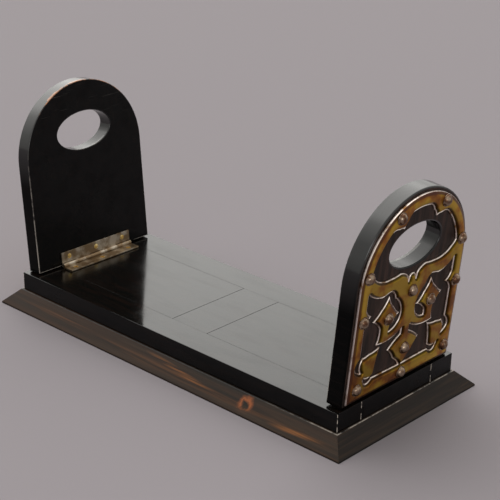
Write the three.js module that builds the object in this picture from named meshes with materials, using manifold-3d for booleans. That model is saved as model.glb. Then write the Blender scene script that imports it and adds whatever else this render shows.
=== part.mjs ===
// A desktop book slide. A bevelled plinth carries a platform of two rails and a centre block, and
// two grooved boards slide out of the platform's ends to make it longer. On each sliding board a
// round-topped end with a finger hole is hinged, leans a little outward and folds down flat, and
// carries a pierced brass mount held by round-headed studs.
//
// Millimetres. X runs along the slide, Y to the back and Z up. The origin is at the middle of the
// underside. Each side is drawn as the right one, and the left one is turned half round.

import * as THREE from 'three';
import { mergeVertices } from 'three/addons/utils/BufferGeometryUtils.js';
import Module from 'manifold-3d';

const wasm = await Module();
wasm.setup();

// Platform and plinth
const PLATFORM_LENGTH = 335;
const PLATFORM_DEPTH = 130;
const PLATFORM_THICK = 14.5;
const PLINTH_HEIGHT = 12.7;
const PLINTH_FLARE = 13.3;
const PLINTH_LEDGE = 1.4;
const PLINTH_TOE = 1.2;
const PLINTH_UNDER = 12;
const BASE_BOARD_THICK = 8;
const GLUE_LINE = 0.05;

// Sliding boards and the rails that guide them
const SLIDE_WIDTH = 79;
const SLIDE_TRAVEL = 95;
const CENTRE_BLOCK_HALF = 18.3;
const SLIDE_END_GAP = 0.4;
const RUN_GAP = 0.3;
const RAIL_TONGUE_DEPTH = 2.4;
const RAIL_TONGUE_HEIGHT = 3.4;
const PEG_RADIUS = 2.5;
const PEG_FROM_SLIDE_END = 12;
const PEG_SEAT_DEPTH = 6;
const PEG_SEAT_GAP = 0.1;
const PEG_SLOT_GAP = 0.4;
const PEG_TIP_UP = 0.6;

// Folding ends
const LEAN = THREE.MathUtils.degToRad(5.5);
const END_WIDTH = 120;
const END_HEIGHT = 148.5;
const END_THICK = 13;
const END_CHAMFER = 1.2;
const END_INSET = 2;
const FOOT_GAP = 0.3;
const FINGER_HOLE_WIDTH = 56;
const FINGER_HOLE_HEIGHT = 31;
const FINGER_HOLE_DROP = 41;

// Hinges, their pins and their countersunk screws
const HINGE_INSET = 2.5;
const HINGE_REACH = 10.8;
const LEAF_THICK = 1.2;
const BARREL_RADIUS = 1.9;
const KNUCKLES = 5;
const KNUCKLE_GAP = 0.2;
const HINGE_PIN_RADIUS = 0.9;
const HINGE_PIN_GAP = 0.15;
const SEAT_GAP = 0.3;
const SCREW_INSET = 8;
const SCREW_HEAD_RADIUS = 2.1;
const SCREW_HEAD_DEPTH = 1;
const SCREW_SHANK_RADIUS = 0.9;
const SCREW_LENGTH = 7;
const SCREW_GAP = 0.1;
const SCREW_SUNK = 0.05;
const SCREW_SLOT_WIDTH = 0.6;
const SCREW_SLOT_DEPTH = 0.45;

// Brass mounts and their studs
const MOUNT_BORDER = 3;
const MOUNT_BAND = 9.8;
const MOUNT_FOOT_BAND = 12;
const MOUNT_THICK = 2.5;
const MOUNT_RISE = 0.9;
const MOUNT_OUTER_BEVEL = 3.1;
const MOUNT_INNER_BEVEL = 0.9;
const STUD_SEAT_GAP = 0.1;
const STUD_FLANGE_RADIUS = 4.6;
const STUD_FLANGE_THICK = 0.5;
const STUD_DOME_RADIUS = 3.9;
const STUD_DOME_HEIGHT = 2.9;
const STUD_PIN_RADIUS = 0.9;
const STUD_PIN_IN_WOOD = 5;
const STUD_PIN_GAP = 0.1;

// Cutters run past the faces they cut by this much.
const OVERRUN = 1;

// Numbers of flats on round work
const ARCH_STEPS = 32;
const CURVE_STEPS = 3;
const BARREL_STEPS = 12;
const SMALL_ROUND_STEPS = 10;
const DOME_STEPS = 3;

// Worked-out sizes
const platformHalf = PLATFORM_LENGTH / 2;
const platformTop = PLINTH_HEIGHT + PLATFORM_THICK;
const railInnerFace = SLIDE_WIDTH / 2 + RUN_GAP;
const grooveMiddle = PLINTH_HEIGHT + PLATFORM_THICK / 2;
const slideInnerEnd = CENTRE_BLOCK_HALF + SLIDE_END_GAP;
const slideBottom = PLINTH_HEIGHT + RUN_GAP;
const boardHalfLength = platformHalf - PLINTH_UNDER - GLUE_LINE;
const boardHalfDepth = PLATFORM_DEPTH / 2 - PLINTH_UNDER - GLUE_LINE;
const pegPlace = slideInnerEnd + PEG_FROM_SLIDE_END;

const faceOffset = BARREL_RADIUS + SEAT_GAP;
const outerFace = faceOffset + END_THICK;
const hingeHeight = platformTop + faceOffset;
const footDrop = (faceOffset - FOOT_GAP - outerFace * Math.sin(LEAN)) / Math.cos(LEAN);
const footReach = outerFace * Math.cos(LEAN) - footDrop * Math.sin(LEAN);
const hingePlace = platformHalf - END_INSET - footReach;
const archRadius = END_WIDTH / 2;
const springLine = END_HEIGHT - archRadius;
const fingerHoleCentre = END_HEIGHT - FINGER_HOLE_DROP;
const hingeWidth = SLIDE_WIDTH - HINGE_INSET * 2;
const screwSpacing = hingeWidth / 2 - SCREW_INSET;
const screwReach = (faceOffset + HINGE_REACH) / 2;

const mountHalf = archRadius - MOUNT_BORDER;
const mountFace = outerFace + SEAT_GAP + MOUNT_THICK;
const bandRadius = mountHalf - MOUNT_BAND;
const footLine = MOUNT_BORDER + MOUNT_FOOT_BAND;

// Places on the mount are shares: across, of half its width, and up, of the way from the foot band
// to the spring line. The third number of an outline's row is the height of the curve that runs on to
// the next row, as a share of its chord. Where it is positive, the curve swells away from the opening.
const edgeShare = bandRadius / mountHalf;

// The large side piercing, round a stemmed leaf with a stud, past the foot leaf and the corner leaf.
const sidePiercingShares = [
  [edgeShare, 0.952, -0.09],
  [0.535, 0.847, 0.02],
  [0.395, 0.871, 0.15],
  [0.286, 0.776, 0.1],
  [0.146, 0.639, 0.1],
  [0.168, 0.52, 0.12],
  [0.344, 0.443, 0.05],
  [0.335, 0.509, 0.07],
  [0.167, 0.603, 0.06],
  [0.295, 0.7, 0.06],
  [0.409, 0.83, 0.06],
  [0.532, 0.709, 0.05],
  [0.672, 0.623, 0.07],
  [0.519, 0.515, 0.08],
  [0.547, 0.351, -0.1],
  [0.077, 0.411, 0],
  [0.081, 0.349, -0.04],
  [0.305, 0.229, 0.06],
  [0.167, 0.102, 0.05],
  [0.028, 0, 0],
  [0.553, 0.008, 0.42],
  [0.725, 0.044, -0.22],
  [0.535, 0.061, 0.03],
  [0.47, 0.316, 0.05],
  [0.663, 0.29, 0.04],
  [0.777, 0.276, -0.2],
  [0.79, 0.119, 0.42],
  [edgeShare, 0.297, 0],
  [edgeShare, 0.605, 0.12],
  [0.718, 0.707, 0.12],
  [edgeShare, 0.8, 0],
];

// The lower edge of the piercing round the finger hole, from the knob at its middle outward.
const holePiercingShares = [
  [0, 0.976, -0.15],
  [0.056, 0.949, 0],
  [0.072, 0.901, 0],
  [0.088, 0.958, -0.08],
  [0.14, 0.996, -0.06],
  [0.246, 1.024, 0.03],
  [0.439, 1.012, 0.05],
  [0.6, 1.026, 0.06],
  [0.73, 1.079, 0.05],
];
const HOLE_ARCH_START = 12;
const HOLE_ARCH_STEP = 6;

// The leaf that hangs from each upper stud: degrees round the arch, and shares of the band's radius.
const upperLeafShares = [
  [50, 1, 0.1],
  [58, 0.915, 0.1],
  [64, 0.84, 0.1],
  [71, 0.92, 0.1],
  [78, 1, 0],
];

// Studs: those on the middle line, those that come in pairs, and those on the foot band, whose
// places up are shares of that band.
const middleStudShares = [0.799, 0.186];
const pairedStudShares = [
  [0.89, 1.136],
  [0.895, 0.692],
  [0.412, 0.603],
];
const footStudShare = 0.49;
const cornerStudShares = [0.863, 0.85];
const UPPER_STUD_ANGLE = THREE.MathUtils.degToRad(62);
const upperStudRadius = (mountHalf + bandRadius) / 2;

// Finishes
const FINISHES = {
  ebonised: { color: 0x17181a, roughness: 0.22, metalness: 0 },
  plinth: { color: 0x352e2a, roughness: 0.38, metalness: 0 },
  carcass: { color: 0x6b4630, roughness: 0.7, metalness: 0 },
  peg: { color: 0x8a6a45, roughness: 0.6, metalness: 0 },
  mountBrass: { color: 0xa06f24, roughness: 0.32, metalness: 1 },
  hingeBrass: { color: 0x8d7457, roughness: 0.45, metalness: 1 },
  studBrass: { color: 0xc0997c, roughness: 0.25, metalness: 1 },
};

const model = new THREE.Group();

// A named mesh with a finish of its own, added to a group.
function addPiece(group, name, geometry, finish) {
  const piece = new THREE.Mesh(geometry, new THREE.MeshStandardMaterial(FINISHES[finish]));
  piece.name = name;
  group.add(piece);
  return piece;
}

// A closed geometry as a solid that can be joined and cut.
function toSolid(geometry) {
  const bare = geometry.clone();
  bare.deleteAttribute('normal');
  bare.deleteAttribute('uv');
  const welded = mergeVertices(bare);
  const corners = welded.index.array;
  const kept = [];
  for (let i = 0; i < corners.length; i += 3) {
    const [a, b, c] = [corners[i], corners[i + 1], corners[i + 2]];
    if (a !== b && b !== c && c !== a) kept.push(a, b, c);
  }
  const vertProperties = new Float32Array(welded.attributes.position.array);
  return new wasm.Manifold(new wasm.Mesh({ numProp: 3, vertProperties, triVerts: new Uint32Array(kept) }));
}

// A solid back as a geometry.
function toGeometry(solid) {
  const mesh = solid.getMesh();
  const geometry = new THREE.BufferGeometry();
  geometry.setAttribute('position', new THREE.BufferAttribute(mesh.vertProperties, 3));
  geometry.setIndex(new THREE.BufferAttribute(mesh.triVerts, 1));
  geometry.computeVertexNormals();
  return geometry;
}

// A geometry less each of the cutters.
function cut(geometry, cutters) {
  let solid = toSolid(geometry);
  for (const cutter of cutters) {
    solid = solid.subtract(toSolid(cutter));
  }
  return toGeometry(solid);
}

// Several geometries joined into one.
function join(geometries) {
  const [first, ...others] = geometries.map(toSolid);
  return toGeometry(others.reduce((solid, other) => solid.add(other), first));
}

// An outline drawn as (Y, Z) and thickened along X, from 0 on.
function thicken(shape, depth) {
  const geometry = new THREE.ExtrudeGeometry(shape, { depth, bevelEnabled: false });
  return alongX(geometry);
}

// Turns a geometry drawn in X and Y, with its depth along Z, to stand in Y and Z.
function alongX(geometry) {
  const across = new THREE.Vector3(0, 1, 0);
  const up = new THREE.Vector3(0, 0, 1);
  const out = new THREE.Vector3(1, 0, 0);
  return geometry.applyMatrix4(new THREE.Matrix4().makeBasis(across, up, out));
}

// A box from its lowest to its highest corner.
function boxBetween(low, high) {
  const size = high.map((value, axis) => value - low[axis]);
  const middle = high.map((value, axis) => (value + low[axis]) / 2);
  return new THREE.BoxGeometry(...size).translate(...middle);
}

// A turned piece with its axis along +X, from rows of radius and distance along the axis.
function turned(rows, steps) {
  const profile = rows.map(([radius, along]) => new THREE.Vector2(radius, along));
  return new THREE.LatheGeometry(profile, steps).rotateZ(-Math.PI / 2);
}

// A plain round bar along +X, from one place to another.
function bar(radius, from, to, steps) {
  return turned([[0, from], [radius, from], [radius, to], [0, to]], steps);
}

// One mitred moulding of the plinth. It runs along X on the -Y side of the platform, and its ends
// follow the mitre, so each place along it is set by how far out it lies.
function plinthMoulding(halfRun, platformEdge) {
  const section = new THREE.Shape([
    new THREE.Vector2(PLINTH_UNDER, 0),
    new THREE.Vector2(PLINTH_UNDER, PLINTH_HEIGHT),
    new THREE.Vector2(-PLINTH_LEDGE, PLINTH_HEIGHT),
    new THREE.Vector2(-PLINTH_FLARE, PLINTH_TOE),
    new THREE.Vector2(-PLINTH_FLARE, 0),
  ]);
  const geometry = thicken(section, halfRun);
  const places = geometry.attributes.position;
  for (let i = 0; i < places.count; i += 1) {
    const side = places.getX(i) > 0 ? 1 : -1;
    places.setX(i, side * (halfRun - places.getY(i) - GLUE_LINE));
  }
  return geometry.translate(0, -platformEdge, 0);
}

// The section of the sliding boards and the centre block, grooved for the rails' tongues.
function groovedSection(bottom) {
  const half = SLIDE_WIDTH / 2;
  const grooveFloor = railInnerFace - RAIL_TONGUE_DEPTH - RUN_GAP;
  const grooveHalf = RAIL_TONGUE_HEIGHT / 2 + RUN_GAP;
  const rightSide = [
    [half, bottom],
    [half, grooveMiddle - grooveHalf],
    [grooveFloor, grooveMiddle - grooveHalf],
    [grooveFloor, grooveMiddle + grooveHalf],
    [half, grooveMiddle + grooveHalf],
    [half, platformTop],
  ].map(([y, z]) => new THREE.Vector2(y, z));
  return new THREE.Shape([...rightSide, ...mirrored(rightSide)]);
}

// A rail along the platform's back edge, with the tongue that guides the sliding boards.
function rail() {
  const bottom = PLINTH_HEIGHT + GLUE_LINE;
  const tongueHalf = RAIL_TONGUE_HEIGHT / 2;
  const section = new THREE.Shape([
    new THREE.Vector2(railInnerFace, bottom),
    new THREE.Vector2(PLATFORM_DEPTH / 2, bottom),
    new THREE.Vector2(PLATFORM_DEPTH / 2, platformTop),
    new THREE.Vector2(railInnerFace, platformTop),
    new THREE.Vector2(railInnerFace, grooveMiddle + tongueHalf),
    new THREE.Vector2(railInnerFace - RAIL_TONGUE_DEPTH, grooveMiddle + tongueHalf),
    new THREE.Vector2(railInnerFace - RAIL_TONGUE_DEPTH, grooveMiddle - tongueHalf),
    new THREE.Vector2(railInnerFace, grooveMiddle - tongueHalf),
  ]);
  return thicken(section, PLATFORM_LENGTH).translate(-platformHalf, 0, 0);
}

// The outline of the slot in the base board that stops the right sliding board's peg, both ways.
function pegSlot() {
  const radius = PEG_RADIUS + PEG_SLOT_GAP;
  const slot = new THREE.Path();
  slot.absarc(pegPlace, 0, radius, Math.PI / 2, Math.PI * 3 / 2);
  slot.absarc(pegPlace + SLIDE_TRAVEL, 0, radius, -Math.PI / 2, Math.PI / 2);
  return slot.getPoints(SMALL_ROUND_STEPS / 2);
}

// The board that fills the plinth, slotted for the pegs.
function baseBoard() {
  const sheet = new THREE.Shape([
    new THREE.Vector2(-boardHalfLength, -boardHalfDepth),
    new THREE.Vector2(boardHalfLength, -boardHalfDepth),
    new THREE.Vector2(boardHalfLength, boardHalfDepth),
    new THREE.Vector2(-boardHalfLength, boardHalfDepth),
  ]);
  sheet.holes.push(new THREE.Path(pegSlot()), new THREE.Path(mirrored(pegSlot())));
  const options = { depth: BASE_BOARD_THICK, bevelEnabled: false };
  return new THREE.ExtrudeGeometry(sheet, options).translate(0, 0, PLINTH_HEIGHT - BASE_BOARD_THICK);
}

function buildBase() {
  addPiece(model, 'base_board', baseBoard(), 'carcass');
  const longMoulding = () => plinthMoulding(platformHalf, PLATFORM_DEPTH / 2);
  const endMoulding = () => plinthMoulding(PLATFORM_DEPTH / 2, platformHalf);
  addPiece(model, 'front_plinth', longMoulding(), 'plinth');
  addPiece(model, 'rear_plinth', longMoulding(), 'plinth').rotation.z = Math.PI;
  addPiece(model, 'right_plinth', endMoulding(), 'plinth').rotation.z = Math.PI / 2;
  addPiece(model, 'left_plinth', endMoulding(), 'plinth').rotation.z = -Math.PI / 2;
  addPiece(model, 'rear_rail', rail(), 'ebonised');
  addPiece(model, 'front_rail', rail(), 'ebonised').rotation.z = Math.PI;
  const block = thicken(groovedSection(PLINTH_HEIGHT + GLUE_LINE), CENTRE_BLOCK_HALF * 2);
  addPiece(model, 'centre_block', block.translate(-CENTRE_BLOCK_HALF, 0, 0), 'ebonised');
}

// Points mirrored across the middle line, in reversed order so that they run on round the outline.
function mirrored(points) {
  return points.map((point) => new THREE.Vector2(-point.x, point.y)).reverse();
}

// The points of an outline through corners, with a curve from each corner to the next. An open run
// of corners keeps its last one as it is.
function curvedPoints(rows, closed) {
  const points = [];
  rows.forEach(([y, z, bulge], index) => {
    const start = new THREE.Vector2(y, z);
    const last = index === rows.length - 1;
    if (bulge === 0 || (last && !closed)) {
      points.push(start);
      return;
    }
    const [nextY, nextZ] = rows[(index + 1) % rows.length];
    const end = new THREE.Vector2(nextY, nextZ);
    const chord = end.clone().sub(start);
    const lift = new THREE.Vector2(chord.y, -chord.x).multiplyScalar(bulge * 2);
    const control = start.clone().lerp(end, 1 / 2).add(lift);
    points.push(...new THREE.QuadraticBezierCurve(start, control, end).getPoints(CURVE_STEPS).slice(0, -1));
  });
  return points;
}

// A share of the way from the foot band to the spring line, as a height.
function upMount(share) {
  return footLine + share * (springLine - footLine);
}

// Rows of shares as places on the mount.
function placed(rows) {
  return rows.map(([across, up, bulge]) => [across * mountHalf, upMount(up), bulge]);
}

// A straight-sided outline with a half-round top, its foot at one height and its top sprung from
// the spring line.
function archPoints(half, foot) {
  const points = [new THREE.Vector2(-half, foot), new THREE.Vector2(half, foot)];
  for (let step = 0; step <= ARCH_STEPS; step += 1) {
    const angle = Math.PI * step / ARCH_STEPS;
    points.push(new THREE.Vector2(half * Math.cos(angle), springLine + half * Math.sin(angle)));
  }
  return points;
}

// A place on the arch's inner edge, from its angle in degrees and a share of the band's radius.
function onArch(degrees, share) {
  const angle = THREE.MathUtils.degToRad(degrees);
  return [bandRadius * share * Math.cos(angle), springLine + bandRadius * share * Math.sin(angle)];
}

// The piercing round the finger hole: its lower edge, the band's inner arch and the upper leaves.
function holePiercing() {
  const [leafStart] = upperLeafShares[0];
  const [leafEnd] = upperLeafShares[upperLeafShares.length - 1];
  const rows = placed(holePiercingShares);
  for (let degrees = HOLE_ARCH_START; degrees < leafStart; degrees += HOLE_ARCH_STEP) {
    rows.push([...onArch(degrees, 1), 0]);
  }
  for (const [degrees, share, bulge] of upperLeafShares) {
    rows.push([...onArch(degrees, share), bulge]);
  }
  for (let degrees = leafEnd + HOLE_ARCH_STEP; degrees < 90; degrees += HOLE_ARCH_STEP) {
    rows.push([...onArch(degrees, 1), 0]);
  }
  const rightHalf = curvedPoints(rows, false);
  const topMiddle = new THREE.Vector2(...onArch(90, 1));
  return [...rightHalf, topMiddle, ...mirrored(rightHalf.slice(1))];
}

// Every piercing of the mount, each as a closed run of points.
function piercings() {
  const rightOne = curvedPoints(placed(sidePiercingShares), true);
  return [holePiercing(), rightOne, mirrored(rightOne)];
}

// Where the studs stand on the mount, as (Y, Z).
function studPlaces() {
  const places = middleStudShares.map((up) => [0, upMount(up)]);
  places.push([0, MOUNT_BORDER + MOUNT_FOOT_BAND * footStudShare]);
  const upperY = upperStudRadius * Math.cos(UPPER_STUD_ANGLE);
  const upperZ = springLine + upperStudRadius * Math.sin(UPPER_STUD_ANGLE);
  const pairs = pairedStudShares.map(([across, up]) => [across * mountHalf, upMount(up)]);
  const [cornerAcross, cornerUp] = cornerStudShares;
  const corner = [cornerAcross * mountHalf, MOUNT_BORDER + MOUNT_FOOT_BAND * cornerUp];
  for (const [y, z] of [[upperY, upperZ], ...pairs, corner]) {
    places.push([y, z], [-y, z]);
  }
  return places;
}

// A plate with its back on the plane X = 0. Its front is bevelled round the outline and the holes.
function bevelledPlate(points, holes, thick, rise, bevel) {
  const sheet = new THREE.Shape(points);
  sheet.holes.push(...holes.map((hole) => new THREE.Path(hole)));
  const options = {
    depth: thick - rise,
    bevelThickness: rise,
    bevelSize: bevel,
    bevelOffset: -bevel,
    bevelSegments: 1,
  };
  const bothSides = alongX(new THREE.ExtrudeGeometry(sheet, options));
  const behind = boxBetween([-rise - OVERRUN, -END_WIDTH, -END_HEIGHT], [0, END_WIDTH, END_HEIGHT * 2]);
  return cut(bothSides, [behind]);
}

// Round cutters for the studs' pins, through the mount and into the wood behind it.
function studPinHoles() {
  const radius = STUD_PIN_RADIUS + STUD_PIN_GAP;
  const depth = outerFace - STUD_PIN_IN_WOOD - STUD_PIN_GAP;
  const hole = bar(radius, depth, mountFace + OVERRUN, SMALL_ROUND_STEPS);
  return studPlaces().map(([y, z]) => hole.clone().translate(0, y, z));
}

// The brass mount: a wide bevel round the outside and a narrow one round each piercing.
function mountPlate() {
  const outline = archPoints(mountHalf, MOUNT_BORDER);
  const whole = bevelledPlate(outline, [], MOUNT_THICK, MOUNT_RISE, MOUNT_OUTER_BEVEL);
  const sheet = archPoints(archRadius, 0);
  const pierced = bevelledPlate(sheet, piercings(), MOUNT_THICK, MOUNT_RISE, MOUNT_INNER_BEVEL);
  const mount = toGeometry(toSolid(whole).intersect(toSolid(pierced)));
  return cut(mount.translate(outerFace + SEAT_GAP, 0, 0), studPinHoles());
}

// The wooden end, drawn with its foot at Z = 0 and its inner face off the hinge's axis.
function endBoard() {
  const hole = new THREE.Path();
  hole.absellipse(0, fingerHoleCentre, FINGER_HOLE_WIDTH / 2, FINGER_HOLE_HEIGHT / 2, 0, Math.PI * 2);
  const rim = hole.getPoints(ARCH_STEPS).slice(0, -1);
  const board = bevelledPlate(archPoints(archRadius, 0), [rim], END_THICK, END_CHAMFER, END_CHAMFER);
  const screwHoles = screwPlaces().map((y) => screwPilot().translate(0, y, footDrop + screwReach));
  return cut(board.translate(faceOffset, 0, 0), [...studPinHoles(), ...screwHoles]);
}

// Where a leaf's screws stand along the hinge.
function screwPlaces() {
  return [-screwSpacing, 0, screwSpacing];
}

// A countersunk screw along +X. Its head's flat face is at the leaf's open face, a little sunk.
function screwRows(grow) {
  const top = faceOffset - SEAT_GAP - LEAF_THICK + SCREW_SUNK;
  const neck = top + SCREW_HEAD_DEPTH;
  return [
    [0, top],
    [SCREW_HEAD_RADIUS + grow, top],
    [SCREW_SHANK_RADIUS + grow, neck],
    [SCREW_SHANK_RADIUS + grow, top + SCREW_LENGTH + grow],
    [0, top + SCREW_LENGTH + grow],
  ];
}

function screw() {
  const [[, top]] = screwRows(0);
  const across = SCREW_HEAD_RADIUS + OVERRUN;
  const slotLow = [top - OVERRUN, -across, -SCREW_SLOT_WIDTH / 2];
  const slotHigh = [top + SCREW_SLOT_DEPTH, across, SCREW_SLOT_WIDTH / 2];
  return cut(turned(screwRows(0), SMALL_ROUND_STEPS), [boxBetween(slotLow, slotHigh)]);
}

// The cutter for a screw's seat in a leaf, open past the leaf's face.
function screwSeat() {
  const rows = screwRows(SCREW_GAP);
  const [[, top], [head]] = rows;
  return turned([[0, top - OVERRUN], [head, top - OVERRUN], ...rows.slice(1)], SMALL_ROUND_STEPS);
}

// The cutter for a screw's shank in the wood behind the leaf.
function screwPilot() {
  const [, , , [radius, end]] = screwRows(SCREW_GAP);
  return bar(radius, 0, end, SMALL_ROUND_STEPS);
}

// One leaf, with its axis along Y at the origin and its plate up +Z, standing off the face at
// X = faceOffset. Its knuckles are every other one, counted from the first or the second.
function hingeLeaf(firstKnuckle) {
  const pitch = hingeWidth / KNUCKLES;
  const back = faceOffset - SEAT_GAP;
  const front = back - LEAF_THICK;
  const halfWidth = hingeWidth / 2;
  const clearOfBarrel = BARREL_RADIUS + KNUCKLE_GAP;
  const parts = [boxBetween([front, -halfWidth, clearOfBarrel], [back, halfWidth, HINGE_REACH])];
  for (let knuckle = firstKnuckle; knuckle < KNUCKLES; knuckle += 2) {
    const low = -halfWidth + knuckle * pitch + KNUCKLE_GAP / 2;
    const high = low + pitch - KNUCKLE_GAP;
    parts.push(bar(BARREL_RADIUS, low, high, BARREL_STEPS).rotateZ(Math.PI / 2));
    parts.push(boxBetween([front, low, 0], [back, high, clearOfBarrel + LEAF_THICK]));
  }
  const bore = bar(HINGE_PIN_RADIUS + HINGE_PIN_GAP, -halfWidth - OVERRUN, halfWidth + OVERRUN, BARREL_STEPS);
  const seats = screwPlaces().map((y) => screwSeat().translate(0, y, screwReach));
  return cut(join(parts), [bore.rotateZ(Math.PI / 2), ...seats]);
}

// The pin through the knuckles, along Y.
function hingePin() {
  const half = hingeWidth / 2;
  return bar(HINGE_PIN_RADIUS, -half, half, BARREL_STEPS).rotateZ(Math.PI / 2);
}

// A round-headed stud along +X, its flange on the plane X = 0 and its pin behind it.
function stud() {
  const pinEnd = -(STUD_SEAT_GAP + MOUNT_THICK + SEAT_GAP + STUD_PIN_IN_WOOD);
  const rows = [
    [0, pinEnd],
    [STUD_PIN_RADIUS, pinEnd],
    [STUD_PIN_RADIUS, 0],
    [STUD_FLANGE_RADIUS, 0],
    [STUD_FLANGE_RADIUS, STUD_FLANGE_THICK],
  ];
  for (let step = 0; step <= DOME_STEPS; step += 1) {
    const angle = Math.PI / 2 * step / DOME_STEPS;
    const radius = step === DOME_STEPS ? 0 : STUD_DOME_RADIUS * Math.cos(angle);
    rows.push([radius, STUD_FLANGE_THICK + STUD_DOME_HEIGHT * Math.sin(angle)]);
  }
  return turned(rows, SMALL_ROUND_STEPS);
}

// The sliding board, drilled from below for its peg and from above for its hinge's screws.
function slideBoard() {
  const length = platformHalf - slideInnerEnd;
  const solid = thicken(groovedSection(slideBottom), length).translate(slideInnerEnd, 0, 0);
  const pegHole = bar(PEG_RADIUS + PEG_SEAT_GAP, -OVERRUN, PEG_SEAT_DEPTH + PEG_SEAT_GAP, SMALL_ROUND_STEPS);
  pegHole.rotateY(-Math.PI / 2).translate(pegPlace, 0, slideBottom);
  const pilots = screwPlaces().map((y) => layDown(screwPilot().translate(0, y, screwReach)));
  return cut(solid, [pegHole, ...pilots]);
}

// Turns a piece of a hinge, drawn as on the upright end, to lie on the sliding board instead.
function layDown(geometry) {
  const down = new THREE.Vector3(0, 0, -1);
  const across = new THREE.Vector3(0, -1, 0);
  const inboard = new THREE.Vector3(-1, 0, 0);
  const turn = new THREE.Matrix4().makeBasis(down, across, inboard);
  return geometry.applyMatrix4(turn).translate(hingePlace, 0, hingeHeight);
}

// The peg under a sliding board's inner end.
function stopPeg() {
  const low = PLINTH_HEIGHT - BASE_BOARD_THICK + PEG_TIP_UP;
  const high = slideBottom + PEG_SEAT_DEPTH;
  return bar(PEG_RADIUS, low, high, SMALL_ROUND_STEPS).rotateY(-Math.PI / 2).translate(pegPlace, 0, 0);
}

function buildSide(name, turn) {
  const side = new THREE.Group();
  side.rotation.z = turn;
  model.add(side);
  addPiece(side, `${name}_slide`, slideBoard(), 'ebonised');
  addPiece(side, `${name}_stop_peg`, stopPeg(), 'peg');
  addPiece(side, `${name}_slide_leaf`, layDown(hingeLeaf(0)), 'hingeBrass');

  const leaning = new THREE.Group();
  leaning.position.set(hingePlace, 0, hingeHeight);
  leaning.rotation.y = LEAN;
  side.add(leaning);
  addPiece(leaning, `${name}_hinge_pin`, hingePin(), 'hingeBrass');
  addPiece(leaning, `${name}_end_leaf`, hingeLeaf(1), 'hingeBrass');
  addPiece(leaning, `${name}_end`, endBoard(), 'ebonised').position.z = -footDrop;
  addPiece(leaning, `${name}_mount`, mountPlate(), 'mountBrass').position.z = -footDrop;

  screwPlaces().forEach((y, index) => {
    const upright = () => screw().translate(0, y, screwReach);
    addPiece(leaning, `${name}_end_screw_${index + 1}`, upright(), 'studBrass');
    addPiece(side, `${name}_slide_screw_${index + 1}`, layDown(upright()), 'studBrass');
  });
  studPlaces().forEach(([y, z], index) => {
    const number = String(index + 1).padStart(2, '0');
    const piece = addPiece(leaning, `${name}_stud_${number}`, stud(), 'studBrass');
    piece.position.set(mountFace + STUD_SEAT_GAP, y, z - footDrop);
  });
}

buildBase();
buildSide('right', 0);
buildSide('left', Math.PI);

export default model;
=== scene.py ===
"""Dresses a desktop book slide: its woods, its brass, its light and its camera.

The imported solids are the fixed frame. Metres; X runs along the slide, Y to the back and Z up. Each
side is drawn as the right one and turned half round for the left one.
"""

from __future__ import annotations

import logging
import math
from collections.abc import Callable, Iterable, Sequence
from dataclasses import dataclass, field
from enum import Enum
from functools import partial
from typing import Any

import bmesh
import bpy
import numpy as np
from mathutils import Matrix, Vector
from mathutils.geometry import delaunay_2d_cdt


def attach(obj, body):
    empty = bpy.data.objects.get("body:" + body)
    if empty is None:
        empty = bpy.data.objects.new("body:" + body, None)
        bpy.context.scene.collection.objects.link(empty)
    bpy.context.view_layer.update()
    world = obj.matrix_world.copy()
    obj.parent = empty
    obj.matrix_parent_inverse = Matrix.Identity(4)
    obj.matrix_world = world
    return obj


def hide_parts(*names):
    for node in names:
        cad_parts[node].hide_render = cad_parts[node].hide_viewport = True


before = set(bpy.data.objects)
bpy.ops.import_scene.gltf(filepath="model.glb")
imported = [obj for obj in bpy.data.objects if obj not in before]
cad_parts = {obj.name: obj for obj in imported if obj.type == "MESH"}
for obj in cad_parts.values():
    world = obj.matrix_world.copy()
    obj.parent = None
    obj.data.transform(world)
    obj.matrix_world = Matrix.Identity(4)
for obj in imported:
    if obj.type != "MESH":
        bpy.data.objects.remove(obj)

log = logging.getLogger("book_slide")

MM = 0.001

Point = tuple[float, float, float]
Place = tuple[float, float]
Colour = tuple[float, float, float, float]
# An sRGB hex code, a grey's linear level or a linear colour.
Tone = str | float | Colour
Spot = Sequence[float]
Tree = bpy.types.NodeTree
Socket = bpy.types.NodeSocket
Inputs = dict[str | int, Any]
# Adds a node to one tree: add_node with its tree given.
Add = Callable[..., Socket]
Run = Sequence[Vector]

# The depth of fine relief, drawn by bump.
FINE_RELIEF = 0.0002
# The turn from one point to the next where an offset goes round a corner.
CORNER_STEP = math.radians(25)
# The turn from which an edge counts as an arris, and up to which faces count as one flat.
ARRIS_TURN = math.radians(40)
FLAT_TURN = math.radians(0.3)
# Points this close are one point, and lengths this close are the same for a selection.
WELD = 1e-6
NEAR = 0.02 * MM
# How squarely a flat faces along an axis, as the cosine of the angle between them.
SQUARE = 0.99


class Axis(Enum):
    """The direction that grain or a bar runs in."""

    X = Vector((1, 0, 0))
    Y = Vector((0, 1, 0))
    Z = Vector((0, 0, 1))


class Pick(Enum):
    """What an edit step selects."""

    FACE = "faces"
    EDGE = "edges"
    VERT = "verts"


class Slot(Enum):
    """The record's material slots."""

    EBONISED = "ebonised_wood"
    PLINTH = "plinth_wood"
    CARCASS = "carcass_wood"
    PEG = "peg_wood"
    MOUNT = "mount_brass"
    HINGE = "hinge_brass"
    STUD = "stud_brass"


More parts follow.
